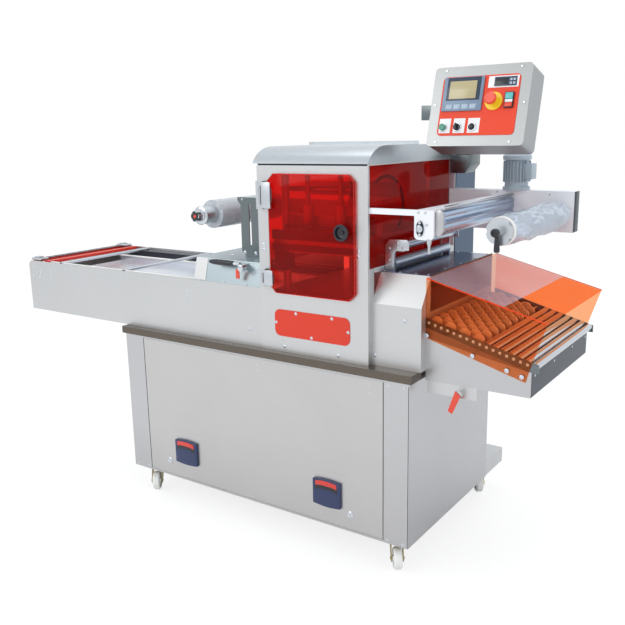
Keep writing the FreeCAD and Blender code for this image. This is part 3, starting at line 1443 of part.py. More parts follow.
# --------------------------------------------------------------------------------------------------------- controls
def lean(obj):
    """Leans a piece modelled in the control box's own frame back to the box's tilt."""
    obj.Placement = FreeCAD.Placement(Vector(), FreeCAD.Rotation(Vector(-1, 0, 0), 1))
    bind(obj, "Placement.Rotation.Angle", S.box_tilt)
    locate(obj, S.box_right - S.box_width, S.box_front, S.box_low)
    return obj


def control_box():
    """Box, bare fascia and the units in it, modelled upright in their own frame and leaned back together."""
    shell = profile(
        "box_shell", "XZ", [(0, 0), (S.box_width, 0), (S.box_width, S.box_tall), (0, S.box_tall)],
        0, S.box_deep, {index: S.box_round for index in range(4)}, OWN_FRAME,
    )
    node(lean(carried("box_whole", shell)), "control_box")
    face = profile(
        "face_sheet", "XZ",
        [
            (S.face_in, S.face_in),
            (S.box_width - S.face_in, S.face_in),
            (S.box_width - S.face_in, S.box_tall - S.face_in),
            (S.face_in, S.box_tall - S.face_in),
        ],
        -S.sheet, S.sheet, {index: S.box_round for index in range(4)}, OWN_FRAME,
    )
    node(lean(carried("face_whole", face)), "control_face")
    fittings = []
    units = {
        "display": (S.display_left, S.display_low, S.display_wide, S.display_tall, S.display_proud),
        "temperature_unit": (S.unit_left, S.unit_low, S.unit_wide, S.unit_tall, S.unit_proud),
        "rocker_switch": (S.rocker_left, S.rocker_low, S.rocker_wide, S.rocker_tall, S.unit_proud),
    }
    for name, (x, z, wide, tall, proud) in units.items():
        unit = box(f"{name}_case", x, -S.sheet - proud, z, wide, proud, tall, OWN_FRAME)
        fittings.append(unit)
    for index in range(3):
        fittings.append(rod(
            f"button_{index}", "Y", S.button_first + index * S.button_pitch, -S.sheet - S.button_proud,
            S.button_height, S.button_diameter, S.button_proud, OWN_FRAME,
        ))
    fittings.append(turned(
        "stop_collar", "Y", S.stop_left, -S.sheet - S.stop_collar, S.stop_height,
        [
            (S.stop_diameter / 4 + S.axle_clearance, 0),
            (S.stop_diameter / 2, 0),
            (S.stop_diameter * 0.75, S.stop_collar),
            (S.stop_diameter / 4 + S.axle_clearance, S.stop_collar),
        ],
        OWN_FRAME,
    ))
    node(lean(fuse("fittings_whole", *fittings)), "panel_fittings")
    stem = S.stop_deep + S.stop_gap + S.stop_collar - S.stop_room
    head = turned(
        "stop_head", "Y", S.stop_left, -S.sheet - S.stop_collar - S.stop_gap - S.stop_deep, S.stop_height,
        [
            (0, 0),
            (S.stop_diameter / 2 - 4, 0),
            (S.stop_diameter / 2, 4),
            (S.stop_diameter / 2, 10),
            (S.stop_diameter / 4, S.stop_deep),
            (S.stop_diameter / 4, stem),
            (0, stem),
        ],
        OWN_FRAME,
    )
    node(lean(carried("stop_head_whole", head)), "emergency_stop")


def control_arm():
    """Square tube that stands on the rear beam behind the box and turns forward to carry it."""
    x = S.box_right - S.box_width + S.arm_in
    post = box(
        "arm_post", x, S.beam_front + S.arm_wall, S.beam_high, S.arm_square, S.arm_square,
        S.box_low + S.arm_rise - S.beam_high,
    )
    start = S.box_front + S.arm_meet
    reach = box(
        "arm_reach", x, start, S.box_low + S.arm_rise - S.arm_square, S.arm_square,
        S.beam_front + S.arm_wall - start, S.arm_square,
    )
    pad = box(
        "arm_pad", S.arm_in, S.box_deep + S.seat_gap, S.arm_rise - S.arm_square, S.arm_square, S.arm_pad,
        2 * S.arm_square, OWN_FRAME,
    )
    node(fuse("control_arm", post, reach, lean(carried("arm_pad_whole", pad))), "control_arm")


# ------------------------------------------------------------------------------------------------------------ build
base_cabinet()
front_panel()
panel_latches()
worktop()
rear_base()
castors()
infeed_trough()
tray_pan()
chain_rails()
carrier_bars()
end_strips()
entry_hood()
tower_front()
name_plate()
tower_shell()
side_windows()
tower_roof()
door_hinges()
front_door()
sealing_heads()
outfeed_front()
deck()
deck_profiles()
outfeed_housing()
conveyor_frame()
wheel_bed()
roller_bed()
guard()
toggle_clamp()
film_beam()
film_arm()
guide_rollers()
unwind_reel()
rewind_reel()
slotted_bracket()
hood_lever()
drive_motor()
control_box()
control_arm()
DOC.recompute()

faults = [obj.Label for obj in DOC.Objects if "Invalid" in obj.State or "Error" in obj.State]
faults += [obj.Label for obj in NODES if obj.Shape.isNull() or not obj.Shape.isValid() or not obj.Shape.Solids]
if faults:
    raise RuntimeError("failed objects: " + ", ".join(faults))
os.makedirs("parts", exist_ok=True)
for obj in NODES:
    obj.Shape.exportStep(f"parts/{obj.Label}.step")
print(f"{len(NODES)} sub-parts written")
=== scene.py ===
"""Looks of the in-line tray sealer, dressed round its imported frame. Millimetres in the tables are taken from the
base cabinet's front right lower corner: X towards the outfeed, Y to the rear, Z up."""

import json
import math

import bmesh
import bpy
from mathutils import Matrix, Vector

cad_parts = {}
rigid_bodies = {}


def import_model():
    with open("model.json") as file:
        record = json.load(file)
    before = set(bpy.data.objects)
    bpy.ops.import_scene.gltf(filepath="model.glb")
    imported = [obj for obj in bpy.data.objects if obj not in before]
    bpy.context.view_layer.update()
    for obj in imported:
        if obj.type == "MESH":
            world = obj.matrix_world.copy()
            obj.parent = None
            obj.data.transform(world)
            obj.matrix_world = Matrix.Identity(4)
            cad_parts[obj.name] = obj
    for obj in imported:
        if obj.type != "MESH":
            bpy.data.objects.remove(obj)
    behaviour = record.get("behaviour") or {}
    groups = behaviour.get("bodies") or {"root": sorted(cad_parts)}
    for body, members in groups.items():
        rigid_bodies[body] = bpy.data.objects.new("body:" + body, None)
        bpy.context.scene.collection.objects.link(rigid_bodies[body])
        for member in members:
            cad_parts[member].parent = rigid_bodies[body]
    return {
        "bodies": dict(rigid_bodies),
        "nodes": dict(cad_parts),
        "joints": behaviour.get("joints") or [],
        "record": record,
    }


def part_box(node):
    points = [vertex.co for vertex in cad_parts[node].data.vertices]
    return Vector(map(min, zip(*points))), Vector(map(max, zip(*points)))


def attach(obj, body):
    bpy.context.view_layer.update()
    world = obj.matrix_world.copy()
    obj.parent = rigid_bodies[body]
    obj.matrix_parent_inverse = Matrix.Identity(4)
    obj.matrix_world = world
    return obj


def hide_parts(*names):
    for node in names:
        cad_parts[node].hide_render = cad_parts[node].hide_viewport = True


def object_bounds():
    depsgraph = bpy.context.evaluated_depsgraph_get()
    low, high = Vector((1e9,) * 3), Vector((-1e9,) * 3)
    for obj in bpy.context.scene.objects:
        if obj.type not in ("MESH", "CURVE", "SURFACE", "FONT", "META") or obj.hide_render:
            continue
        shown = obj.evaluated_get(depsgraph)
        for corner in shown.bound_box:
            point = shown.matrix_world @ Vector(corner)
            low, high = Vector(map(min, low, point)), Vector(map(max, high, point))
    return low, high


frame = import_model()
cad_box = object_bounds()
NODES = frame["nodes"]
MM = 0.001


# -------- places
def low(name):
    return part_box(name)[0]


def high(name):
    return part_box(name)[1]


DATUM = Vector((high("base_cabinet").x, low("base_cabinet").y, low("base_cabinet").z))


def at(x, y, z):
    """A place in metres from millimetres off the cabinet's front right lower corner."""
    return DATUM + Vector((x, y, z)) * MM


def y_of(point):
    """Millimetres from the datum to a point's Y."""
    return point.y / MM - DATUM.y / MM


def flat(corners):
    """Corners in millimetres, seen from the front, as pairs in metres."""
    return [tuple(at(x, 0, z).xz) for x, z in corners]


BODY = {node: body for body, nodes in frame["record"]["behaviour"]["bodies"].items() for node in nodes}
FIXED = "machine"


def add_object(name, data):
    item = bpy.data.objects.new(name, data)
    bpy.context.scene.collection.objects.link(item)
    return item


# -------- material nodes
def paint(red, green, blue):
    """Linear colour from the 0 to 255 values of a paint chart."""
    values = []
    for value in (red, green, blue):
        value /= 255
        values.append(value / 12.92 if value <= 0.04045 else ((value + 0.055) / 1.055) ** 2.4)
    return (*values, 1.0)


def feed(tree, slot, value):
    """Links a Link to a socket, or writes a plain value into it."""
    if isinstance(value, Link):
        tree.links.new(value.socket, slot)
    else:
        slot.default_value = value


class Link:
    """A socket on which sums of numbers are written as Python expressions."""

    def __init__(self, tree, socket):
        self.tree = tree
        self.socket = socket

    def math(self, operation, other, flipped=False):
        node = self.tree.nodes.new("ShaderNodeMath")
        node.operation = operation
        order = (other, self) if flipped else (self, other)
        for slot, value in zip(node.inputs, order):
            feed(self.tree, slot, value)
        return Link(self.tree, node.outputs[0])

    def __add__(self, other):
        return self.math("ADD", other)

    def __radd__(self, other):
        return self.math("ADD", other, True)

    def __sub__(self, other):
        return self.math("SUBTRACT", other)

    def __rsub__(self, other):
        return self.math("SUBTRACT", other, True)

    def __mul__(self, other):
        return self.math("MULTIPLY", other)

    def __rmul__(self, other):
        return self.math("MULTIPLY", other, True)


class Finish:
    """A material under way, and the methods that add its nodes."""

    def __init__(self, name):
        self.material = bpy.data.materials.new(name)
        self.material.use_nodes = True
        self.tree = self.material.node_tree
        self.shader = self.tree.nodes["Principled BSDF"]
        self.output = self.tree.nodes["Material Output"]

    def node(self, kind, values=None, out=0):
        node = self.tree.nodes.new(kind)
        for key, value in (values or {}).items():
            feed(self.tree, node.inputs[key], value)
        return Link(self.tree, node.outputs[out])

    def place(self, scale=(1, 1, 1), turn=(0, 0, 0)):
        """Object coordinates, stretched for grain that runs one way."""
        where = self.node("ShaderNodeTexCoord", out="Object")
        return self.node("ShaderNodeMapping", {"Vector": where, "Scale": scale, "Rotation": turn})

    def noise(self, scale, detail=3.0, roughness=0.5, stretch=(1, 1, 1), turn=(0, 0, 0)):
        return self.node(
            "ShaderNodeTexNoise",
            {"Vector": self.place(stretch, turn), "Scale": scale, "Detail": detail, "Roughness": roughness},
            "Fac",
        )

    def blend(self, amount, first, second):
        node = self.tree.nodes.new("ShaderNodeMix")
        node.data_type = "RGBA"
        for slot, value in ((0, amount), (6, first), (7, second)):
            feed(self.tree, node.inputs[slot], value)
        return Link(self.tree, node.outputs[2])

    def set(self, **values):
        """Sockets of the main shader; an underscore stands for a space."""
        for key, value in values.items():
            feed(self.tree, self.shader.inputs[key.replace("_", " ")], value)

    def bump(self, height, strength, distance):
        self.set(Normal=self.node(
            "ShaderNodeBump", {"Height": height, "Strength": strength, "Distance": distance}, "Normal",
        ))

    def end_in_mix(self, amount, first=None, second=None):
        """Ends in a mix of two shaders, where the main shader stands for the one left out."""
        own = Link(self.tree, self.shader.outputs[0])
        mixed = self.node("ShaderNodeMixShader", {0: amount, 1: first or own, 2: second or own})
        self.tree.links.new(mixed.socket, self.output.inputs[0])


def shade(colour, factor):
    """Linear colour of a paint chart's value, made darker or lighter."""
    return (*[min(1.0, part * factor) for part in paint(*colour)[:3]], 1.0)


def brushed(name, colour, grain, roughness=0.36, metallic=0.85, contrast=0.10):
    """Brushed sheet: fine lines along one axis, broad cloudy tone and a few smears."""
    finish = Finish(name)
    lines = finish.noise(1.0, 2.0, 0.6, grain)
    clouds = finish.noise(2.2, 3.0, 0.55)
    smears = finish.noise(9.0, 4.0, 0.6, (1, 1, 0.4))
    tone = lines * 0.55 + clouds * 0.45
    finish.set(
        Base_Color=finish.blend(tone, shade(colour, 1 - contrast), shade(colour, 1 + contrast)),
        Metallic=metallic,
        Roughness=roughness - 0.06 + lines * 0.10 + smears * 0.05,
    )
    finish.bump(lines, 0.12, 0.0002)
    return finish.material


ALONG = (14, 900, 900)
UPRIGHT = (700, 700, 9)
ACROSS = (900, 14, 900)


def polished(name, colour, roughness=0.16, metallic=1.0, scratch=60.0):
    finish = Finish(name)
    clouds = finish.noise(3.0, 3.0, 0.5)
    marks = finish.noise(scratch, 4.0, 0.65, (1, 0.15, 1))
    finish.set(
        Base_Color=finish.blend(clouds, shade(colour, 0.86), shade(colour, 1.14)),
        Metallic=metallic,
        Roughness=roughness + marks * 0.10,
    )
    finish.bump(marks, 0.05, 0.0002)
    return finish.material


def moulded(name, colour, roughness=0.42, grain=1400.0, sheen=0.25):
    """Moulded plastic: fine grain, slight patches, worn shine."""
    finish = Finish(name)
    fine = finish.noise(grain, 2.0, 0.5)
    patches = finish.noise(14.0, 3.0, 0.5)
    finish.set(
        Base_Color=finish.blend(patches, shade(colour, 0.88), shade(colour, 1.12)),
        Roughness=roughness - 0.05 + patches * 0.12,
        Coat_Weight=sheen * patches,
    )
    finish.bump(fine, 0.10, 0.0003)
    return finish.material


def enamel(name, colour, roughness=0.38, peel=260.0):
    """Sprayed enamel with a little orange peel."""
    finish = Finish(name)
    skin = finish.noise(peel, 2.0, 0.5)
    patches = finish.noise(5.0, 3.0, 0.5)
    finish.set(
        Base_Color=finish.blend(patches, shade(colour, 0.93), shade(colour, 1.07)),
        Roughness=roughness - 0.04 + patches * 0.08,
    )
    finish.bump(skin, 0.08, 0.0004)
    return finish.material


def tinted(name, tint, skin, cover, roughness=0.05):
    """Coloured clear sheet: light passes with the tint, and a share of the surface carries its colour and gloss."""
    finish = Finish(name)
    haze = finish.noise(6.0, 3.0, 0.5)
    ripple = finish.noise(5.0, 2.0, 0.5)
    clear = finish.node("ShaderNodeBsdfTransparent", {"Color": tint})
    finish.set(
        Base_Color=finish.blend(haze, shade(skin, 0.92), shade(skin, 1.08)),
        Roughness=roughness,
        Specular_IOR_Level=0.6,
    )
    finish.bump(ripple, 0.04, 0.002)
    finish.end_in_mix(cover - 0.05 + haze * 0.10, first=clear)
    return finish.material


PLATE = brushed("brushed_steel_plate", (206, 206, 206), ALONG, 0.38)
BOX_STEEL = brushed("control_box_steel", (168, 170, 170), ALONG, 0.36)
PLATE_UP = brushed("brushed_steel_upright", (207, 207, 207), UPRIGHT, 0.36)
PANEL = brushed("brushed_steel_panel", (199, 197, 196), ALONG, 0.34, 0.9, 0.12)
SIDE = brushed("brushed_steel_side", (196, 195, 196), ACROSS, 0.34, 0.9, 0.12)
RIM = brushed("dark_brushed_rim", (106, 98, 90), ALONG, 0.26, 0.95, 0.14)
ROOF = brushed("satin_roof_sheet", (196, 202, 206), ALONG, 0.27, 0.95, 0.06)
DARK_DECK = polished("dark_polished_deck", (118, 126, 150), 0.16)
# painted shade: the rear column's stainless steel is coloured dark blue-grey for the shade and dark reflections on it
SHADED_COLUMN_STEEL = polished("column_steel_painted_shade", (78, 96, 118), 0.20, 0.9)
BRIGHT = polished("bright_roller_steel", (205, 209, 214), 0.14)
PAN = polished("bright_tray_pan", (226, 229, 236), 0.20, 0.75)
DRAWN = brushed("drawn_aluminium", (196, 206, 218), ACROSS, 0.30, 0.9, 0.08)
CAST = polished("turned_aluminium", (198, 202, 206), 0.30, 0.9)
ZINC = polished("yellow_zinc", (178, 160, 118), 0.30, 0.9)
NYLON = moulded("white_nylon", (236, 236, 232), 0.45)
NAVY = moulded("navy_latch_plastic", (38, 52, 92), 0.38)
RED_BAR = moulded("red_latch_bar", (214, 62, 50), 0.35)
BLACK = moulded("black_grip_plastic", (30, 33, 40), 0.34)
SOFT_BLACK = moulded("dark_rail_plastic", (42, 44, 54), 0.45)
RED_PLATE = enamel("red_name_plate", (218, 52, 24), 0.45)
RED_STRIP = enamel("red_guide_strip", (214, 46, 20), 0.40)
FASCIA = enamel("red_fascia", (232, 58, 8), 0.45)
WHITE = enamel("white_label", (240, 242, 244), 0.35)
BEAM = enamel("pale_film_beam", (240, 241, 246), 0.35)
# dark steel; on the outfeed's end plate and bed floor this colour is painted shade
DARK_STEEL_AND_SHADE = polished("dark_steel_and_painted_shade", (40, 48, 60), 0.26, 0.7)
BURGUNDY = enamel("dark_end_cover", (84, 62, 72), 0.35)
HOSE = moulded("black_hose", (26, 24, 28), 0.45)
BRACKET_STEEL = brushed("grey_bracket_steel", (118, 126, 128), UPRIGHT, 0.3, 0.9, 0.10)
MIRROR_STEEL = brushed("bright_hood_steel", (172, 184, 188), ACROSS, 0.30, 0.9, 0.06)
PROFILE = brushed("bright_guide_profile", (178, 196, 218), ACROSS, 0.24, 0.9, 0.10)
MOTOR = enamel("motor_enamel", (168, 182, 192), 0.36)
DOOR_PANE = tinted("red_door_pane", (0.96, 0.20, 0.15, 1), (196, 34, 26), 0.16, 0.05)
SIDE_PANE = tinted("red_side_pane", (0.98, 0.22, 0.16, 1), (160, 34, 28), 0.20, 0.05)
POST_PANE = tinted("pale_rear_post_pane", (0.9, 0.5, 0.5, 1), (150, 110, 120), 0.55, 0.05)
GUARD = tinted("orange_guard_sheet", (1.0, 0.68, 0.48, 1), (244, 84, 30), 0.05, 0.02)
EDGE_RED = enamel("red_pane_edge", (220, 30, 14), 0.25)
GUARD_EDGE = enamel("orange_guard_edge", (244, 84, 16), 0.2)
ROLLER_WHITE = moulded("skate_wheel_plastic", (236, 226, 206), 0.40)
STOP_RED = moulded("stop_button_red", (236, 74, 44), 0.30, 1400.0, 0.5)
STOP_YELLOW = moulded("stop_collar_yellow", (244, 208, 36), 0.38)
GREEN = moulded("green_button", (34, 134, 108), 0.26, 1400.0, 0.5)
BEZEL = moulded("display_bezel", (120, 142, 166), 0.36)
DARK_BEZEL = moulded("display_dark_frame", (44, 58, 78), 0.30)
CYAN = moulded("switch_green", (96, 190, 186), 0.34)
SWITCH_RED = moulded("switch_red", (226, 74, 52), 0.34)
KEY = moulded("soft_key", (168, 184, 200), 0.40)
SCREW = polished("screw_steel", (214, 218, 224), 0.22)
DARK_INSIDE = enamel("dark_inside_paint", (74, 70, 72), 0.5)


def lit_screen():
    """Switched-on display: a pale ochre panel with faint lines and no picture."""
    finish = Finish("display_screen")
    lines = finish.noise(1.0, 1.0, 0.5, (4, 4, 900))
    finish.set(
        Base_Color=finish.blend(lines, paint(176, 164, 124), paint(192, 180, 140)),
        Roughness=0.22,
        Coat_Weight=0.3,
    )
    return finish.material


def painted_sheen():
    """Painted reflection: a pale pink sheen, laid as a see-through sheet, where a clear sheet mirrors the room."""
    finish = Finish("guard_painted_sheen")
    haze = finish.noise(4.0, 2.0, 0.5)
    finish.set(
        Base_Color=finish.blend(haze, paint(226, 190, 204), paint(240, 212, 220)),
        Roughness=0.10,
        Specular_IOR_Level=0.6,
        Alpha=0.22 + haze * 0.16,
    )
    return finish.material


SCREEN = lit_screen()
# painted reflection laid over the guard's top
GUARD_PAINTED_SHEEN = painted_sheen()


def film(name, colour, cover, scale, depth):
    """Wrapped clear film: sharp creases along a few wandering lines, painted lighter and more opaque as painted
    highlights, with soft folds between them.
    """
    finish = Finish(name)
    folds = finish.noise(scale * 0.35, 4.0, 0.6, (1, 0.3, 1))
    creases = []
    for stretch, turn in (((1, 0.22, 1), (0.0, 0.0, 0.5)), ((1, 0.35, 1), (0.0, 0.3, -0.6))):
        wave = finish.noise(scale, 3.0, 0.7, stretch, turn)
        creases.append(wave.math("SUBTRACT", 0.5).math("ABSOLUTE", 0.0))
    line = creases[0].math("MINIMUM", creases[1])
    sharp = (line * 28.0).math("MINIMUM", 1.0)
    finish.set(
        # painted highlights: crease lines are lighter and more opaque than the film between them
        Base_Color=finish.blend(sharp, shade(colour, 1.12), shade(colour, 1.0)),
        Roughness=0.14 + folds * 0.2,
        Alpha=cover + (1.0 - sharp) * (1 - cover) * 0.5,
        Coat_Weight=0.6 * folds,
    )
    finish.bump(sharp * 0.3 + folds, 0.4, depth)
    return finish.material


WRAP = film("crumpled_film_wrap", (206, 216, 230), 0.42, 9.0, 0.004)
WOUND = film("wound_film", (196, 202, 208), 0.9, 12.0, 0.001)


def dress(material, *names):
    for name in names:
        mesh = NODES[name].data
        mesh.materials.clear()
        mesh.materials.append(material)


CORNERS = ("front_right", "front_left", "rear_right", "rear_left")
dress(PANEL, "front_panel")
dress(SIDE, "base_cabinet", "outfeed_housing")
dress(PLATE, "rear_base_box", "infeed_trough", "outfeed_cheek")
dress(BOX_STEEL, "control_box")
dress(MIRROR_STEEL, "entry_hood")
dress(BRACKET_STEEL, "slotted_bracket", "conveyor_frame")
dress(PLATE_UP, "tower_front", "reel_arm", "toggle_plate")
dress(RIM, "worktop")
dress(DARK_DECK, "deck")
# rear column in painted shade
dress(SHADED_COLUMN_STEEL, "rear_column")
dress(BRIGHT, "roller_bed", "carrier_bars")
dress(PAN, "tray_pan")
dress(DRAWN, "deck_profiles", "guide_roller_upper", "guide_roller_lower")
dress(CAST, "door_hinges", "door_leaves", "unwind_hub", "rewind_core", "upper_head", "lower_die")
dress(SOFT_BLACK, "chain_rails")
dress(ZINC, "castor_plates", *[f"castor_fork_{corner}" for corner in CORNERS])
dress(NYLON, *[f"castor_wheel_{corner}" for corner in CORNERS])
dress(RED_PLATE, "name_plate")
dress(RED_STRIP, "end_strips")
dress(FASCIA, "control_face")
dress(BEAM, "film_beam", "film_arm")
dress(GUARD, "guard")
NODES["guard"].visible_shadow = False
dress(STOP_RED, "emergency_stop")
dress(SWITCH_RED, "toggle_lever")
dress(WOUND, "film_roll", "waste_film")


# -------- piece shapes
TURNS = {
    "X": Matrix.Rotation(math.radians(90), 3, "Y"),
    "Y": Matrix.Rotation(math.radians(-90), 3, "X"),
    "Z": Matrix.Identity(3),
}
FRONT = (0, -1, 0)
UP = (0, 0, 1)


def turn_to(axis):
    """The turn that lays Z along an axis, which is a letter or a direction."""
    if isinstance(axis, str):
        return TURNS[axis].to_4x4()
    return Vector(UP).rotation_difference(Vector(axis)).to_matrix().to_4x4()


RIM_ANGLE = 0.6
SAME_PLACE = 1e-7


class Piece:
    def __init__(self, name):
        self.name = name
        self.mesh = bmesh.new()

    def _edges(self, verts):
        chosen = set(verts)
        return [edge for edge in self.mesh.edges if edge.verts[0] in chosen and edge.verts[1] in chosen]

    def _bevel(self, edges, offset, segments=2):
        bmesh.ops.bevel(
            self.mesh, geom=edges, offset=offset, offset_type="OFFSET", segments=segments, profile=0.5,
            affect="EDGES", material=-1, clamp_overlap=True,
        )

    def _soften(self, verts, edge, segments):
        if edge:
            self._bevel(self._edges(verts), edge, segments)

    def block(self, corner, size, edge=0.0, segments=2, frame=None):
        """Box from its low corner; frame turns and places it."""
        verts = bmesh.ops.create_cube(self.mesh, size=1.0)["verts"]
        bmesh.ops.scale(self.mesh, verts=verts, vec=size)
        bmesh.ops.translate(self.mesh, verts=verts, vec=Vector(corner) + Vector(size) / 2)
        if frame is not None:
            bmesh.ops.transform(self.mesh, matrix=frame, verts=verts)
        self._soften(verts, edge, segments)
        return self

    def rod(self, start, axis, radius, length, edge=0.0, segments=24):
        made = bmesh.ops.create_cone(
            self.mesh, cap_ends=True, cap_tris=False, segments=segments, radius1=radius, radius2=radius, depth=length,
        )["verts"]
        move = Matrix.Translation(Vector(start)) @ turn_to(axis) @ Matrix.Translation((0, 0, length / 2))
        bmesh.ops.transform(self.mesh, matrix=move, verts=made)
        if edge:
            self._bevel(
                [e for e in self._edges(made) if len(e.link_faces) == 2 and e.calc_face_angle(0) > RIM_ANGLE], edge,
            )
        return self

    def lathe(self, start, axis, steps, segments=32, frame=None):
        """Turned shape; steps are (radius, distance along the axis) from one end to the other."""
        old = set(self.mesh.verts)
        verts = [self.mesh.verts.new((radius, 0, along)) for radius, along in steps]
        edges = [self.mesh.edges.new(pair) for pair in zip(verts, verts[1:])]
        bmesh.ops.spin(
            self.mesh, geom=verts + edges, cent=(0, 0, 0), axis=(0, 0, 1), angle=math.tau, steps=segments,
            use_merge=True, use_duplicate=False,
        )
        grown = [vert for vert in self.mesh.verts if vert not in old]
        bmesh.ops.remove_doubles(self.mesh, verts=grown, dist=SAME_PLACE)
        grown = [vert for vert in grown if vert.is_valid]
        move = Matrix.Translation(Vector(start)) @ turn_to(axis)
        bmesh.ops.transform(self.mesh, matrix=move if frame is None else frame @ move, verts=grown)
        return self

    def prism(self, corners, axis, start, depth, edge=0.0, segments=2):
        """Outline in the plane square to the axis, pushed along it."""
        spread = {
            "X": lambda a, b: (start, a, b),
            "Y": lambda a, b: (a, start, b),
            "Z": lambda a, b: (a, b, start),
        }[axis]
        verts = [self.mesh.verts.new(spread(a, b)) for a, b in corners]
        face = self.mesh.faces.new(verts)
        push = {"X": (depth, 0, 0), "Y": (0, depth, 0), "Z": (0, 0, depth)}[axis]
        made = bmesh.ops.extrude_face_region(self.mesh, geom=[face], use_keep_orig=True)["geom"]
        moved = [part for part in made if isinstance(part, bmesh.types.BMVert)]
        bmesh.ops.translate(self.mesh, verts=moved, vec=push)
        self._soften(verts + moved, edge, segments)
        return self

    def slab(self, corners, y, depth, edge=0.0, segments=2):
        """Outline seen from the front, in millimetres, pushed to the rear from y by a depth in metres."""
        return self.prism(flat(corners), "Y", at(0, y, 0).y, depth, edge, segments)

    def screw(self, place, facing, radius):
        """Domed screw head on a washer."""
        height = radius * 0.55
        return self.lathe(
            place, facing,
            [(0, 0), (radius * 1.25, 0), (radius * 1.25, height * 0.25), (radius, height * 0.3),
             (radius * 0.72, height * 0.85), (radius * 0.38, height), (radius * 0.3, height * 0.55),
             (0, height * 0.55)],
            10,
        )

    def screws(self, places, y, radius, facing=FRONT):
        """Screw heads at (x, z) places in millimetres, on a face at y."""
        for x, z in places:
            self.screw(at(x, y, z), facing, radius)
        return self

    def finish(self, material, body=FIXED, replaces=(), smooth=35.0):
        bmesh.ops.recalc_face_normals(self.mesh, faces=self.mesh.faces)
        data = bpy.data.meshes.new(self.name)
        self.mesh.to_mesh(data)
        self.mesh.free()
        item = add_object(self.name, data)
        data.materials.append(material)
        for polygon in data.polygons:
            polygon.use_smooth = True
        limit = math.radians(smooth)
        work = bmesh.new()
        work.from_mesh(data)
        for edge in work.edges:
            edge.smooth = len(edge.link_faces) == 2 and edge.calc_face_angle(0) < limit
        work.to_mesh(data)
        work.free()
        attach(item, body)
        if replaces:
            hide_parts(*replaces)
        return item


# -------- fasteners
# Radii of screw heads, in metres.
FINE_HEAD = 0.0026
SMALL_HEAD = 0.0036
LARGE_HEAD = 0.0065


def front_screws():
    """Screw heads on the sheets that face the operator, grouped by size."""
    trough, tower, panel, cheek, plate = [
        y_of(low(name)) for name in ("infeed_trough", "tower_front", "front_panel", "outfeed_cheek", "name_plate")
    ]
    small = Piece("small_screws")
    for places, y, radius in (
        (((-1985, 838), (-1940, 812), (-1948, 792), (-1996, 790), (-1996, 652), (-1862, 830), (-1862, 815),
          (-1862, 800), (-1010, 806), (-1010, 792)), trough, 0.0042),
        ([(-1760 + 122 * step, 846) for step in range(10)], trough, FINE_HEAD),
        (((-600, 1296), (-400, 1296), (-190, 1296), (-236, 1150), (-206, 1150)), tower, FINE_HEAD),
        ([(x, z) for x in (-1212, -640, -150) for z in (548, 572)], panel, FINE_HEAD),
        (((-1335, 12), (-1270, 12), (-80, 12), (-18, 12), (-80, 586), (-18, 586)), panel, SMALL_HEAD),
        (((-100, 800), (-100, 780), (-100, 764)), cheek, FINE_HEAD),
    ):
        small.screws(places, y, radius)
    small.finish(SCREW)
    large = Piece("large_screws")
    for places, y, radius in (
        (((-607, 1028), (-606, 1011), (-204, 1030), (-204, 1012), (-525, 656), (-290, 654)), tower, LARGE_HEAD),
        (((-155, 671), (-40, 805)), cheek, LARGE_HEAD),
        (((-690, 700),), trough, LARGE_HEAD),
        (((-470, 785), (-315, 785), (-560, 744), (-248, 744), (-403, 703)), plate, 0.0048),
    ):
        large.screws(places, y, radius)
    large.finish(SCREW)
    locks = Piece("panel_locks")
    for x, z in ((-1138, 69), (-233, 67)):
        locks.lathe(
            at(x, panel, z), FRONT,
            [(0, 0), (0.0135, 0), (0.0135, 0.0015), (0.0115, 0.003), (0.008, 0.003), (0.007, 0.0014), (0.003, 0.0014),
             (0.003, 0.0028), (0, 0.0028)],
            28,
        )
    locks.finish(SCREW)


LATCH_BAR = ((-46, 80), (-46, 98), (-20, 102), (20, 102), (46, 98), (46, 80), (20, 84), (-20, 84))
LATCH_HOLLOW = ((-50, 62), (-48, 80), (-20, 84), (20, 84), (48, 80), (50, 62), (20, 70), (-20, 70))


def latches():
    """Pull latches with barrel-shaped sides, a red bar and the finger hollow under it."""
    y = y_of(low("panel_latches"))
    deep = (low("front_panel").y - low("panel_latches").y) / MM
    body, bars, hollows = Piece("latch_bodies"), Piece("latch_bars"), Piece("latch_hollows")
    base, wide, tall, bulge = 75, 120, 108, 5
    shares = [index / 8 for index in range(9)]
    for middle in (-331, -1033):
        rim, foot = [], []
        for share in shares:
            swell = bulge * math.sin(math.pi * share)
            rim.append((middle - wide / 2 + wide * share, base + tall - bulge + swell))
            foot.append((middle + wide / 2 - wide * share, base + bulge - swell))
        body.slab(rim + foot, y + 2, (deep - 2) * MM, 0.0028, 3)
        bars.slab([(middle + x, base + z) for x, z in LATCH_BAR], y, 0.006, 0.001)
        hollows.slab([(middle + x, base + z) for x, z in LATCH_HOLLOW], y + 1.2, 0.004)
    body.finish(NAVY, replaces=("panel_latches",))
    bars.finish(RED_BAR)
    hollows.finish(BLACK)


# -------- control panel
TILT = math.radians(16)
PANEL_LOW = Vector((low("control_box").x, low("control_box").y, 0))
BOX_DEEP = 112 * MM
PANEL_LOW.z = low("control_box").z + BOX_DEEP * math.sin(TILT)
PANEL_FRAME = Matrix.Translation(PANEL_LOW) @ Matrix.Rotation(-TILT, 4, "X")
FACE = -2.0 * MM


def on_face(piece, x, z, wide, tall, proud, edge=0.001, lift=0.0):
    """A block on the fascia: x from its left end, z from its lower edge, in millimetres."""
    return piece.block(
        (x * MM, FACE - (lift + proud) * MM, z * MM), (wide * MM, proud * MM, tall * MM), edge, 2, PANEL_FRAME,
    )


def turned_on_face(piece, x, z, steps, segments=32, y=FACE - 0.0008):
    """A turned shape on the fascia, its axis square to it."""
    return piece.lathe((x * MM, y, z * MM), FRONT, steps, segments, PANEL_FRAME)


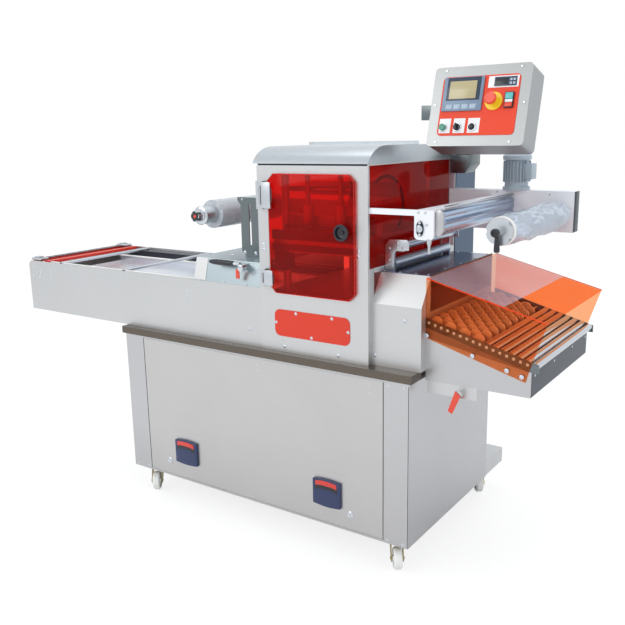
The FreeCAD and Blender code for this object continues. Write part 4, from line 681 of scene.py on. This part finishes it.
# Flat fittings of the fascia: name, material and blocks as on_face() takes them.
PANEL_BLOCKS = (
    ("display_frame", DARK_BEZEL, ((55, 151, 118, 77, 1.4, 0.0008, 6), (217, 194, 75, 30, 2.0, 0.0008, 1.2))),
    ("display_glass", SCREEN, ((65, 156, 95, 59, 0.7, 0.0003, 7.4),)),
    ("unit_readout", BLACK, ((221, 199, 42, 20, 0.5, 0.0002, 3.2),)),
    ("display_keys", KEY, (
        *[(58 + 28 * index, 122, 23, 16, 1.2, 0.001, 6) for index in range(4)],
        *[(x, z, 8, 8, 0.8, 0.0004, 3.2) for x in (269, 280) for z in (198, 210)],
    )),
    ("white_labels", WHITE, (
        (196, 190, 102, 38, 0.8, 0.0002), *[(x, 43, 41, 49, 0.8, 0.0002) for x in (41, 92, 143)],
    )),
    ("rocker_housing", BLACK, ((259, 121, 31, 52, 6, 0.0015),)),
    ("rocker_green", CYAN, ((262, 149, 25, 21, 3, 0.002, 6),)),
    ("rocker_label", WHITE, ((262, 139, 25, 9, 2, 0.001, 6),)),
    ("rocker_red", SWITCH_RED, ((262, 124, 25, 14, 3.4, 0.002, 6),)),
)
BUTTONS_X = (55, 107, 159)
BUTTONS_Z = 62


def control_panel():
    """Bezel, display, labels, rocker, buttons and the collar of the emergency stop."""
    on_face(Piece("display_bezel"), 42, 116, 141, 114, 6, 0.002).finish(BEZEL, replaces=("panel_fittings",))
    for name, material, blocks in PANEL_BLOCKS:
        piece = Piece(name)
        for block in blocks:
            on_face(piece, *block)
        piece.finish(material)
    rings = Piece("button_rings")
    for x in BUTTONS_X:
        turned_on_face(rings, x, BUTTONS_Z, [
            (0, 0), (0.0150, 0), (0.0150, 0.003), (0.0135, 0.005), (0.0112, 0.005), (0.0108, 0.002), (0, 0.002),
        ])
    rings.finish(SCREW)
    green, selector, push = BUTTONS_X
    turned_on_face(Piece("green_button"), green, BUTTONS_Z, [
        (0, 0.002), (0.0118, 0.002), (0.0118, 0.009), (0.0105, 0.0105), (0, 0.0108),
    ]).finish(GREEN)
    switch = Piece("selector_switch")
    turned_on_face(switch, selector, BUTTONS_Z, [
        (0, 0.002), (0.0118, 0.002), (0.0118, 0.008), (0.0108, 0.0095), (0, 0.0095),
    ])
    switch.block(
        (selector * MM - 0.003, FACE - 0.0205, BUTTONS_Z * MM - 0.010), (0.006, 0.012, 0.020), 0.0012, 2, PANEL_FRAME,
    )
    turned_on_face(switch, push, BUTTONS_Z, [
        (0, 0.002), (0.0118, 0.002), (0.0118, 0.006), (0.0080, 0.0075), (0.0080, 0.0105), (0.0060, 0.0115),
        (0, 0.0115),
    ])
    switch.finish(BLACK)
    turned_on_face(Piece("stop_collar"), 222, 146, [
        (0, 0), (0.030, 0), (0.030, 0.002), (0.029, 0.003), (0.013, 0.003), (0.012, 0.010), (0, 0.010),
    ], 40, FACE).finish(STOP_YELLOW)
    heads = Piece("box_screws")
    for x, z in ((42, 256), (302, 257), (15, 140), (325, 140), (34, 14), (292, 13)):
        turned_on_face(heads, x, z, [(0, 0), (0.0045, 0), (0.0038, 0.0018), (0, 0.0022)], 12, -0.0002)
    heads.finish(SCREW)


# -------- outfeed pieces
BED_LEFT = 20
BED_FALL = 100 / 362
BED_TOP = 805


def bed_z(x):
    return BED_TOP - (x - BED_LEFT) * BED_FALL


WHEEL_SECTION = [
    (0.0041, 0.0008), (0.0070, 0.0), (0.0090, 0.0016), (0.0150, 0.0016), (0.0180, 0.0028), (0.0195, 0.0056),
    (0.0199, 0.0080), (0.0195, 0.0104), (0.0180, 0.0132), (0.0150, 0.0144), (0.0090, 0.0144), (0.0070, 0.0160),
    (0.0041, 0.0152), (0.0041, 0.0008),
]


def skate_wheels():
    """Crowned plastic wheels in staggered columns on their axles."""
    wheels, axles = Piece("skate_wheels"), Piece("wheel_axles")
    pitch = 60
    for row in range(7):
        x = BED_LEFT + 24 + 25 * row
        axles.rod(at(x, 84.5, bed_z(x)), "Y", 0.004, 0.595, 0, 12)
        for column in range(9):
            wheels.lathe(at(x, 104 + pitch * column + pitch // 2 * (row % 2), bed_z(x)), "Y", WHEEL_SECTION, 20)
    wheels.finish(ROLLER_WHITE, replaces=("wheel_bed",))
    axles.finish(BRIGHT)


GUARD_SCREWS = ((24, 757), (187, 710), (303, 679), (352, 666))


def outfeed_trim():
    """Bed floor and end plate in dark steel colour as painted shade, end plate with its angle strip, axle ends along
    the rail, a painted sheen on the guard's top and the guard's screws and edges.
    """
    # painted shade: the outfeed's steel end face and the bed under the wheels are thin sheets in dark steel colour
    Piece("end_plate_painted_shade").block(at(382.2, 82, 602), (0.0006, 0.600, 0.078)).finish(DARK_STEEL_AND_SHADE)
    Piece("bed_floor_painted_shade").slab(((22, 783.5), (381, 684.3), (381, 685.0), (22, 784.2)), 85, 0.594).finish(DARK_STEEL_AND_SHADE)
    dots = Piece("end_strip_screws")
    for y in (110, 300, 500, 660):
        dots.screw(at(382.7, y, 668), (1, 0, 0), SMALL_HEAD)
    dots.finish(SCREW)
    Piece("deck_edge_strip").block(at(17, 108, 951.5), (0.005, 0.534, 0.005), 0.001).finish(BLACK)
    along = [30 + step * 22.5 for step in range(16)]
    rail = y_of(low("outfeed_housing")) - 0.2
    Piece("axle_ends").screws([(x, bed_z(x) - 2) for x in along], rail, 0.0044).finish(SCREW)
    bolts = Piece("guard_screws")
    bolts.screws(GUARD_SCREWS, y_of(low("guard")) - 0.1, 0.0064)
    bolts.screws(GUARD_SCREWS, y_of(high("guard")) + 0.1, 0.0064, (0, 1, 0))
    bolts.finish(SCREW)
    box_low, box_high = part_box("guard")
    # painted reflection: a see-through pale pink sheet over the guard's top stands for the room mirrored in it
    gloss = ((24, 950.4), (286, 881.8), (286, 882.1), (24, 950.7))
    Piece("guard_top_painted_sheen").slab(gloss, 80, 0.600).finish(GUARD_PAINTED_SHEEN)
    rims = Piece("guard_rims")
    for y in (box_low.y + 0.0004, box_high.y - 0.0026):
        rims.prism(flat(((20, 948), (425, 842), (425, 845.2), (20, 951.2))), "Y", y, 0.0022)
    rims.finish(GUARD_EDGE)


def profile_bracket():
    """Larger plate with cut corners that carries the deck's bars beside the tower."""
    outline = ((-166, 951.3), (-132, 951.3), (-132, 1010), (-124, 1022), (-76, 1026), (-76, 1054), (-84, 1062),
               (-150, 1060), (-166, 1042))
    Piece("profile_bracket").slab(outline, 134, 0.004, 0.0006).finish(CAST)
    places = ((-150, 1030), (-150, 990), (-120, 1034), (-96, 1034), (-118, 1050))
    Piece("profile_bracket_screws").screws(places, 133.9, 0.0042).finish(SCREW)


def deck_trim():
    """Screws round the deck's edge."""
    dots = Piece("deck_screws")
    for x, y in ((-160, 120), (-100, 118), (-40, 118), (5, 122), (-160, 320), (5, 250), (5, 380), (5, 510), (-160, 480),
                 (-120, 632), (-60, 632), (5, 628)):
        dots.screw(at(x, y, 953.1), UP, 0.0040)
    dots.finish(SCREW)


# -------- film pieces
def film_arm_trim():
    """Oval flange bearing, screws and pin on the end plate, the fluted profile behind it and the beam's dark end."""
    face = y_of(low("film_arm"))
    turns = [math.tau * index / 20 for index in range(20)]
    rim = [(18.5 + 13.0 * math.cos(turn), 1117 + 25.0 * math.sin(turn)) for turn in turns]
    Piece("flange_bearing").slab(rim, face - 5, 0.0048, 0.0015).finish(DARK_STEEL_AND_SHADE)
    core = Piece("bearing_core")
    core.lathe(
        at(18.5, face - 5, 1117), FRONT,
        [(0, 0), (0.0115, 0), (0.0115, 0.003), (0.0095, 0.004), (0.0085, 0.002), (0.004, 0.002), (0.004, 0.005),
         (0, 0.005)],
        24,
    )
    core.screws(((18.5, 1136), (18.5, 1098)), face - 5, 0.004)
    core.screws(((42, 1130), (12, 1168), (36, 1168)), face - 0.1, 0.004)
    core.finish(SCREW)
    Piece("arm_pin").lathe(
        at(48, face + 5, 1081), (0, 0, -1),
        [(0, -0.003), (0.0085, -0.003), (0.0075, 0.012), (0.0045, 0.018), (0.0045, 0.044), (0, 0.046)], 16,
    ).finish(CAST)
    outline = ((67, 1104), (67, 1168), (82, 1175), (96, 1170), (98, 1160), (94, 1155), (98, 1149), (98, 1136),
               (93, 1130), (97, 1121), (91, 1109), (80, 1102))
    Piece("film_guide_profile").slab(outline, 46, 0.600, 0.0012).finish(PROFILE)
    outline = ((66, 1096), (66, 1172), (82, 1178), (95, 1168), (95, 1110), (82, 1094))
    Piece("profile_end_cap").slab(outline, 40, 0.0055, 0.001).finish(SIDE)
    Piece("film_guide_rod").rod(at(90, 47, 1183), "Y", 0.0055, 0.598, 0.0008, 20).finish(BRIGHT)
    corner = high("film_beam")
    Piece("beam_end_cap").block(
        (corner.x + 0.0003, corner.y - 0.0545, corner.z - 0.1475), (0.0012, 0.054, 0.147), 0.0003,
    ).finish(DARK_STEEL_AND_SHADE)
    places = ((30, 1192), (70, 1190), (230, 1186), (225, 1072), (-120, 1070))
    Piece("beam_screws").screws(places, 649.9, SMALL_HEAD).finish(SCREW)


def unwind_trim():
    """Loose wrap round the film, the core's end, the dark cap of the shaft and its hanging lever."""
    centre = at(268, 0, 1117)
    wrap = Piece("film_wrap")
    radii = (43.5, 46, 48, 45, 47.5, 50, 47, 49, 52, 50, 53, 50, 46)
    steps = [(radius * MM, (92 + index * 44) * MM) for index, radius in enumerate(radii)]
    inner = [(radius - 0.0008, along) for radius, along in reversed(steps)]
    wrap.lathe(centre, "Y", steps + inner + [steps[0]], 40)
    start = low("film_roll").y
    for vert in wrap.mesh.verts:
        offset = Vector((vert.co.x - centre.x, 0, vert.co.z - centre.z))
        turn = math.atan2(offset.z, offset.x)
        along = vert.co.y * 31
        swell = 0.0018 * math.sin(5 * turn + along) + 0.0012 * math.sin(9 * turn - 1.7 * along + 1.3)
        share = min(1.0, max(0.0, (vert.co.y - start) / 0.5))
        sag = 0.004 * max(0.0, -math.sin(turn)) * math.sin(share * math.pi)
        vert.co += offset.normalized() * (swell + sag)
    wrap.finish(WRAP, "unwind_reel", smooth=80.0)
    Piece("film_core_end").lathe(
        at(268, 74.4, 1117), "Y",
        [(0.0200, 0), (0.0440, 0), (0.0452, 0.003), (0.0452, 0.014), (0.0430, 0.018), (0.0200, 0.018), (0.0200, 0)],
        40,
    ).finish(NYLON, "unwind_reel")
    cap = Piece("shaft_cap")
    cap.lathe(
        at(268, 37.6, 1117), FRONT,
        [(0, 0), (0.0125, 0), (0.0135, 0.004), (0.0135, 0.012), (0.0110, 0.016), (0.0060, 0.016), (0.0050, 0.013),
         (0, 0.013)],
        28,
    )
    cap.lathe(
        at(268, 45, 1108), (0.02, 0, -1),
        [(0, 0), (0.0060, 0.0), (0.0070, 0.010), (0.0085, 0.030), (0.0095, 0.046), (0.0080, 0.052), (0, 0.053)], 20,
    )
    cap.finish(BLACK, "unwind_reel")


def rewind_trim():
    """Star knob with its red middle, and the chrome disc behind it."""
    centre = at(-1030, 115, 1103)
    rim = []
    for index in range(40):
        turn = math.tau * index / 40
        radius = 0.0222 - 0.0042 * (0.5 + 0.5 * math.cos(5 * turn)) ** 2
        rim.append((centre.x + radius * math.cos(turn), centre.z + radius * math.sin(turn)))
    Piece("star_knob_shell").prism(rim, "Y", centre.y - 0.0003, 0.018, 0.003, 3).finish(BLACK, "rewind_reel")
    Piece("star_knob_middle").lathe(
        centre + Vector((0, -0.0004, 0)), FRONT, [(0, 0), (0.007, 0), (0.006, 0.0012), (0, 0.0016)], 20,
    ).finish(SWITCH_RED, "rewind_reel")
    Piece("rewind_disc").lathe(
        at(-1030, 141, 1103), "Y",
        [(0.0102, 0), (0.020, 0), (0.024, 0.004), (0.034, 0.005), (0.038, 0.008), (0.038, 0.0079), (0.0102, 0.0079),
         (0.0102, 0)],
        40,
    ).finish(BRIGHT, "rewind_reel")


# -------- tower pieces
SILLS = (954, 960)
FOLD = 0.0006


def tower_frames():
    """Side frames with narrow borders round their panes, the rear plate and glossy rear posts."""
    shell_low, shell_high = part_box("tower_shell")
    frames = Piece("tower_frames")
    thick = 0.004
    front = shell_low.y
    rear = shell_high.y
    foot = shell_low.z
    head = shell_high.z
    pane = at(0, 642, 0).y
    for x, sill in zip((shell_low.x, shell_high.x - thick), SILLS):
        edge = at(0, 0, sill).z
        for y, z, deep, tall in (
            (front, foot, 0.036, edge + 0.010 - foot),
            (pane, foot, rear - pane, edge + 0.010 - foot),
            (front + 0.0365, edge - 0.006, pane - front - 0.0370, 0.016),
            (front, edge + 0.0105, 0.007, head - edge - 0.0105),
            (rear - 0.006, edge + 0.0105, 0.006, head - edge - 0.0105),
            (front + 0.0075, head - 0.006, rear - front - 0.014, 0.006),
        ):
            frames.block((x, y, z), (thick, deep, tall), FOLD)
    frames.block(
        (shell_low.x + thick + 0.0003, rear - thick, foot),
        (shell_high.x - shell_low.x - 2 * thick - 0.0006, thick, head - foot), FOLD,
    )
    frames.finish(PLATE_UP, replaces=("tower_shell",))
    panes, posts = Piece("side_panes"), Piece("rear_posts")
    for x, sill in zip((shell_low.x + 0.0003, shell_high.x - 0.0043), SILLS):
        edge = at(0, 0, sill).z + 0.011
        panes.block((x, front + 0.0080, edge), (thick, pane - front - 0.0085, head - 0.0065 - edge), 0.0005)
        posts.block((x, pane + 0.0005, edge), (thick, rear - pane - 0.0070, head - 0.0065 - edge), 0.0005)
    panes.finish(SIDE_PANE, replaces=("side_windows",))
    posts.finish(POST_PANE)


ROLLED_EDGE = ((0.0, 0.0), (0.016, 0.06), (0.04, 0.14), (0.07, 0.23), (0.11, 0.33), (0.16, 0.44), (0.22, 0.54),
               (0.30, 0.65), (0.40, 0.76), (0.52, 0.86), (0.66, 0.94), (0.82, 0.985), (1.0, 1.0))


def roof():
    """Roof with a rolled front edge, an upturned flange across its middle and screws along it."""
    roof_low, roof_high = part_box("tower_roof")
    front = roof_low.y
    eave = roof_low.z
    crest = at(0, 0, 1376).z
    flange = at(0, 380, 0).y
    outline = [(front + 0.124 * along, eave + (crest - eave) * up) for along, up in ROLLED_EDGE]
    outline += [(flange, crest), (flange, crest + 0.011), (flange + 0.003, crest + 0.011),
                (flange + 0.003, crest - 0.003), (roof_high.y, crest - 0.006), (roof_high.y, eave)]
    sheet = Piece("roof_sheet").prism(outline, "X", roof_low.x, roof_high.x - roof_low.x)
    sheet.finish(ROOF, replaces=("tower_roof",), smooth=50.0)
    dots = Piece("roof_screws")
    for share in (0.08, 0.36, 0.64, 0.92):
        x = roof_low.x + (roof_high.x - roof_low.x) * share
        dots.screw((x, flange + 0.008, crest - 0.0031), UP, 0.0035)
    dots.finish(SCREW)
    Piece("eave_seal").block(at(-626, 27.5, 1298), (0.454, 0.004, 0.024)).finish(DARK_STEEL_AND_SHADE)


def door_pane():
    """Pane with cut corners, a brighter edge band and the moving leaves of its hinges."""
    pane_low, pane_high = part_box("front_door")
    cut = 24
    left, right, foot, head = -572, -214, 856, 1284
    outline = [(left + cut, foot), (right - cut, foot), (right, foot + cut), (right, head - cut), (right - cut, head),
               (left + cut, head), (left, head - cut), (left, foot + cut)]
    pane = Piece("door_pane").prism(flat(outline), "Y", pane_low.y, pane_high.y - pane_low.y, 0.0008)
    pane.finish(DOOR_PANE, BODY["front_door"], ("front_door",))
    band = Piece("pane_edge")
    for (x, z), after in zip(outline, outline[1:] + outline[:1]):
        start, end = at(x, 0, z), at(after[0], 0, after[1])
        along = end - start
        inward = Vector((-along.z, 0, along.x)).normalized() * 0.0022
        corners = [tuple(point.xz) for point in (start, end, end + inward, start + inward)]
        band.prism(corners, "Y", pane_low.y - 0.0006, 0.0005)
    band.finish(EDGE_RED, BODY["front_door"])
    leaves = Piece("hinge_leaves")
    for z, tall in ((882, 56), (1162, 92)):
        leaves.block((at(-597, 0, 0).x, low("door_leaves").y, at(0, 0, z).z), (0.041, 0.005, tall * MM), 0.001)
    leaves.finish(CAST, BODY["door_leaves"])
    slits = Piece("hinge_slits")
    for z, tall in ((892, 36), (1174, 68)):
        slits.block((at(-599, 0, 0).x, low("door_hinges").y - 0.0003, at(0, 0, z).z), (0.003, 0.0006, tall * MM))
    slits.finish(DARK_STEEL_AND_SHADE)


def box_arm():
    """Arm of the control box: chamfered tube on the column, riser, cross tube that ends left of the box, and stub."""
    arm = Piece("box_arm")
    arm.slab(((-166, 1258), (-108, 1258), (-82, 1290), (-82, 1327), (-166, 1327)), 655, 0.088, 0.002)
    arm.block(at(-152, 662, 1327.3), (0.056, 0.056, 0.134), 0.002)
    arm.block(at(-301, 662, 1461.6), (0.277, 0.056, 0.056), 0.002)
    arm.block(at(-66, 399, 1470), (0.040, 0.2627, 0.040), 0.002)
    arm.finish(BRACKET_STEEL, replaces=("control_arm",))
    Piece("box_arm_end").block(at(-301.4, 665, 1464.6), (0.0003, 0.050, 0.050)).finish(WHITE)


HOSE_ROUTE = ((-420, 400, 1160), (-380, 420, 1230), (-330, 430, 1262), (-280, 430, 1240), (-255, 430, 1180),
              (-250, 420, 1110), (-262, 410, 1072))


def air_hose():
    """Loop of hose between the cylinder and the wall of the tower."""
    hose = bpy.data.curves.new("hose_line", "CURVE")
    hose.dimensions = "3D"
    line = hose.splines.new("NURBS")
    line.points.add(len(HOSE_ROUTE) - 1)
    for point, place in zip(line.points, HOSE_ROUTE):
        point.co = (*at(*place), 1)
    line.order_u = 3
    line.use_endpoint_u = True
    hose.bevel_depth = 0.0065
    hose.bevel_resolution = 3
    hose.resolution_u = 10
    hose.use_fill_caps = True
    holder = add_object("hose_holder", hose)
    bpy.context.view_layer.update()
    mesh = bpy.data.meshes.new_from_object(holder.evaluated_get(bpy.context.evaluated_depsgraph_get()))
    bpy.data.objects.remove(holder)
    mesh.materials.clear()
    mesh.materials.append(HOSE)
    item = add_object("air_hose", mesh)
    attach(item, FIXED)


def tower_inside():
    """What shows through the panes: ribbed die, cross plates, cylinders and a sensor."""
    die_low, die_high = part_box("lower_die")
    ribs = Piece("die_ribs")
    count = 30
    pitch = (die_high.x - die_low.x) / count
    for index in range(count):
        corner = (die_low.x + pitch * (index + 0.25), die_low.y - 0.0083, die_high.z - 0.11)
        ribs.block(corner, (pitch * 0.5, 0.008, 0.100), 0.0012)
    ribs.finish(CAST)
    head_low, head_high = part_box("upper_head")
    plates = Piece("head_plates")
    y = die_low.y - 0.0003
    for z, tall in ((1006, 22), (1046, 34)):
        plates.block((head_low.x, y - 0.010, at(0, 0, z).z), (head_high.x - head_low.x, 0.0097, tall * MM), 0.001)
    plates.block((head_low.x + 0.06, y - 0.012, at(0, 0, 1090).z), (0.25, 0.010, 0.012), 0.001)
    plates.finish(DARK_INSIDE)
    cylinder = Piece("head_cylinders")
    for x in (-470, -330):
        cylinder.rod(at(x, 110, 1072), "Z", 0.020, 0.10, 0.002)
        cylinder.rod(at(x, 110, 1172), "Z", 0.009, 0.12, 0.001)
    cylinder.rod(at(-560, 130, 1225), "X", 0.010, 0.34, 0.001)
    cylinder.finish(CAST)
    boxes = Piece("sensor_box")
    boxes.block(at(-280, 90, 1200), (0.035, 0.05, 0.06), 0.004)
    boxes.block(at(-262, 110, 1120), (0.012, 0.02, 0.08), 0.002)
    boxes.block(at(-590, 60, 930), (0.05, 0.06, 0.09), 0.003)
    boxes.finish(HOSE)
    Piece("bright_cross_bar").block(at(-590, 300, 1190), (0.38, 0.02, 0.05), 0.002).finish(CAST)


# -------- infeed pieces
PAN_LEVEL = 838.3
HOOD_SLOPE = 24 / 87


def infeed_trim():
    """End cover with its screws, corner blocks, sliding strips, chain pins and the hood's folded edge."""
    top = high("infeed_trough").z / MM - DATUM.z / MM
    strip_low, strip_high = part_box("end_strips")
    Piece("end_cover").block(
        (strip_low.x - 0.004, strip_low.y, strip_high.z + 0.0003), (0.038, strip_high.y - strip_low.y, 0.0020), 0.0006,
    ).finish(BURGUNDY)
    dots = Piece("end_cover_screws")
    for step in range(8):
        dots.screw((strip_low.x + 0.015, strip_low.y + 0.03 + 0.07 * step, strip_high.z + 0.0023), UP, SMALL_HEAD)
    dots.finish(SCREW)
    blocks = Piece("end_blocks")
    for y in (30, 548):
        blocks.block(at(-2006, y, top + 2.4), (0.070, 0.044, 0.010), 0.002)
        blocks.block(at(-1990, y + 6, top + 12.6), (0.030, 0.030, 0.005), 0.001)
    blocks.finish(CAST)
    strips = Piece("sliding_strips")
    for y, z, tall in ((44, top - 14, 0.014), (96, PAN_LEVEL, 0.006), (452, PAN_LEVEL, 0.006)):
        strips.block(at(-1886, y, z), (1250 * MM, 0.012, tall), 0.001)
    strips.finish(NYLON)
    pins = Piece("chain_pins")
    for step in range(88):
        pins.block(at(-1880 + 14.0 * step, 563.6, top - 16), (0.008, 0.008, 0.006))
    pins.finish(CAST)
    lean = [(24 + (z - 867) * HOOD_SLOPE - 0.9, z) for z in (869, 953)]
    corners = lean + [(y + 0.6, z) for y, z in reversed(lean)]
    seam = Piece("hood_end_strip").prism([tuple(at(0, y, z).yz) for y, z in corners], "X", at(-966, 0, 0).x, 0.060)
    seam.finish(PLATE)
    bolt = Piece("hood_bolts")
    bolt.screw(at(-866, 144, 954.1), UP, 0.0060)
    bolt.screws(((-930, 869.5), (-810, 869.5), (-700, 869.5)), 24 - 0.6, FINE_HEAD)
    bolt.screws(((-800, 970), (-746, 970)), 144.8, 0.0060)
    bolt.screws(((-806, 1176), (-732, 1176)), 144.8, 0.0035)
    bolt.finish(SCREW)


def clamp_lever():
    """Hood clamp: chrome hub, swelling black grip and a red tag, turning together."""
    axis = at(-706, 0, 936)
    front = low("hood_lever").y
    sideways = (-1, 0, 0)
    hub = Piece("clamp_hub")
    hub.lathe(
        (axis.x, front + 0.0245, axis.z), FRONT,
        [(0, 0), (0.0135, 0), (0.0135, 0.010), (0.0120, 0.016), (0.0130, 0.018), (0.0130, 0.0225), (0.0100, 0.0245),
         (0, 0.0245)],
    )
    hub.lathe(
        (axis.x - 0.008, front + 0.0125, axis.z + 0.013), sideways,
        [(0, 0), (0.0075, 0), (0.0065, 0.010), (0.0060, 0.034), (0, 0.034)], 20,
    )
    hub.finish(BRIGHT, "hood_clamp", ("hood_lever",))
    Piece("clamp_grip").lathe(
        (axis.x - 0.040, front + 0.0125, axis.z + 0.013), sideways,
        [(0, 0), (0.0080, 0), (0.0098, 0.006), (0.0108, 0.030), (0.0109, 0.060), (0.0106, 0.085), (0.0092, 0.105),
         (0.0060, 0.117), (0, 0.119)],
        28,
    ).finish(BLACK, "hood_clamp")
    tag = Piece("clamp_tag").block((axis.x - 0.030, front + 0.0105, axis.z - 0.043), (0.018, 0.0035, 0.036), 0.0015)
    tag.finish(SWITCH_RED, "hood_clamp")


def motor():
    """Motor with upright fins, fan cover, foot flange with bolts and terminal box."""
    centre = at(92, 678, 1198)
    body = Piece("motor_case")
    body.lathe(
        centre, "Z",
        [(0, 0), (0.050, 0), (0.050, 0.012), (0.043, 0.014), (0.043, 0.110), (0.052, 0.112), (0.0525, 0.126),
         (0.046, 0.1318), (0, 0.1318)],
        48,
    )
    for index in range(26):
        turn = math.tau * index / 26
        if abs(math.sin(turn)) < 0.32 and math.cos(turn) > 0:
            continue
        fin = Matrix.Translation(centre) @ Matrix.Rotation(turn, 4, "Z")
        body.block((0.041, -0.0011, 0.030), (0.0095, 0.0022, 0.078), 0.0, 1, fin)
    body.block((centre.x + 0.030, centre.y - 0.028, centre.z + 0.040), (0.036, 0.056, 0.058), 0.003)
    body.finish(MOTOR, replaces=("drive_motor",))
    bolts = Piece("motor_bolts")
    reach = 0.047
    for index in range(4):
        turn = math.tau * (index + 0.5) / 4
        place = (centre.x + reach * math.cos(turn), centre.y + reach * math.sin(turn), centre.z + 0.0122)
        bolts.screw(place, UP, 0.004)
    bolts.finish(SCREW)


def cabinet_trim():
    """Dark seams of the front panel and of the cabinet's folded corner."""
    seams = Piece("panel_seams")
    face = low("front_panel").y
    for x in (-1254, -98):
        seams.block((at(x, 0, 0).x, face - 0.0002, at(0, 0, 8).z), (0.002, 0.0012, 0.586))
    seams.block((at(-2.2, 0, 0).x, low("base_cabinet").y - 0.0003, at(0, 0, 4).z), (0.0018, 0.0006, 0.588))
    seams.finish(DARK_STEEL_AND_SHADE)


def door_knob_detail():
    """Cup knob with a rounded rim round a dark hollow."""
    deep = high("door_knob").y - low("door_knob").y
    steps = [(0, 0), (0.017, 0), (0.023, 0.45), (0.0285, 0.7), (0.0285, 0.92), (0.026, 1), (0.0215, 0.97),
             (0.0185, 0.6), (0.007, 0.5), (0.006, 0.62), (0, 0.62)]
    knob = Piece("cup_knob").lathe(
        (at(-254, 0, 0).x, low("door_knob").y + deep, at(0, 0, 1093).z), FRONT,
        [(radius, deep * share) for radius, share in steps], 48,
    )
    knob.finish(BLACK, BODY["door_knob"], ("door_knob",))


# -------- camera, floor and light
TURN = math.radians(34.77)
FALL = math.radians(12.95)
ROLL = math.radians(-1.11)
CAMERA_PLACE = (1133.20, -2184.28, 1415.27)
LENS = 44.58
SENSOR = 36.0
FLOOR_GLOW = 1.10
FLOOR_SHARE = 0.72
SKY = (0.94, 0.97, 1.0, 1)
SKY_STRENGTH = 0.96


def camera():
    ahead = Vector((-math.sin(TURN) * math.cos(FALL), math.cos(TURN) * math.cos(FALL), -math.sin(FALL)))
    right = Vector((math.cos(TURN), math.sin(TURN), 0))
    upward = right.cross(ahead)
    side = math.cos(ROLL) * right + math.sin(ROLL) * upward
    top = -math.sin(ROLL) * right + math.cos(ROLL) * upward
    data = bpy.data.cameras.new("camera")
    data.lens = LENS
    data.sensor_width = SENSOR
    item = add_object("camera", data)
    turned = Matrix((side, top, -ahead)).transposed().to_4x4()
    item.matrix_world = Matrix.Translation(at(*CAMERA_PLACE)) @ turned
    data.clip_end = 60
    bpy.context.scene.camera = item


def floor():
    """Pale floor that keeps the machine's shadow and reads as white elsewhere."""
    finish = Finish("pale_floor")
    finish.set(Base_Color=(0.9, 0.9, 0.9, 1), Roughness=0.9, Specular_IOR_Level=0.1)
    glow = finish.node("ShaderNodeEmission", {"Color": (1, 1, 1, 1), "Strength": FLOOR_GLOW})
    seen = finish.node("ShaderNodeLightPath", out="Is Camera Ray")
    finish.end_in_mix(seen * FLOOR_SHARE, second=glow)
    mesh = bmesh.new()
    bmesh.ops.create_grid(mesh, x_segments=1, y_segments=1, size=14.0)
    data = bpy.data.meshes.new("floor")
    mesh.to_mesh(data)
    mesh.free()
    data.materials.append(finish.material)
    item = add_object("floor", data)
    item.location.z = cad_box[0].z


def world():
    setting = bpy.data.worlds.new("studio")
    setting.use_nodes = True
    tree = setting.node_tree
    tree.nodes.clear()
    out = tree.nodes.new("ShaderNodeOutputWorld")
    lit = tree.nodes.new("ShaderNodeBackground")
    lit.inputs[0].default_value = SKY
    lit.inputs[1].default_value = SKY_STRENGTH
    seen = tree.nodes.new("ShaderNodeBackground")
    seen.inputs[0].default_value = (1, 1, 1, 1)
    path = tree.nodes.new("ShaderNodeLightPath")
    mix = tree.nodes.new("ShaderNodeMixShader")
    tree.links.new(path.outputs["Is Camera Ray"], mix.inputs[0])
    tree.links.new(lit.outputs[0], mix.inputs[1])
    tree.links.new(seen.outputs[0], mix.inputs[2])
    tree.links.new(mix.outputs[0], out.inputs[0])
    bpy.context.scene.world = setting


def lamp(name, place, aim, size, power, colour=(1, 1, 1)):
    data = bpy.data.lights.new(name, "AREA")
    data.shape = "RECTANGLE"
    data.size, data.size_y = size
    data.energy = power
    data.color = colour
    item = add_object(name, data)
    item.location = place
    item.rotation_mode = "QUATERNION"
    item.rotation_quaternion = (Vector(aim) - Vector(place)).to_track_quat("-Z", "Y")


for make in (
    front_screws, latches, control_panel, skate_wheels, outfeed_trim, profile_bracket, deck_trim,
    film_arm_trim, unwind_trim, rewind_trim, tower_frames, roof, door_pane, box_arm, air_hose, tower_inside,
    infeed_trim, clamp_lever, motor, cabinet_trim, door_knob_detail, camera, floor, world,
):
    make()
lamp("key_softbox", (-2.2, -4.2, 3.6), (0, 0, 0.8), (3.0, 2.2), 58, (1.0, 0.99, 0.97))
lamp("side_softbox", (4.6, -1.2, 2.6), (0, 0, 0.9), (2.4, 2.4), 10, (0.97, 0.98, 1.0))
lamp("top_softbox", (0.3, 0.8, 4.8), (0, 0, 0.9), (4.0, 3.0), 40)

view_settings = bpy.context.scene.view_settings
view_settings.view_transform = "Standard"
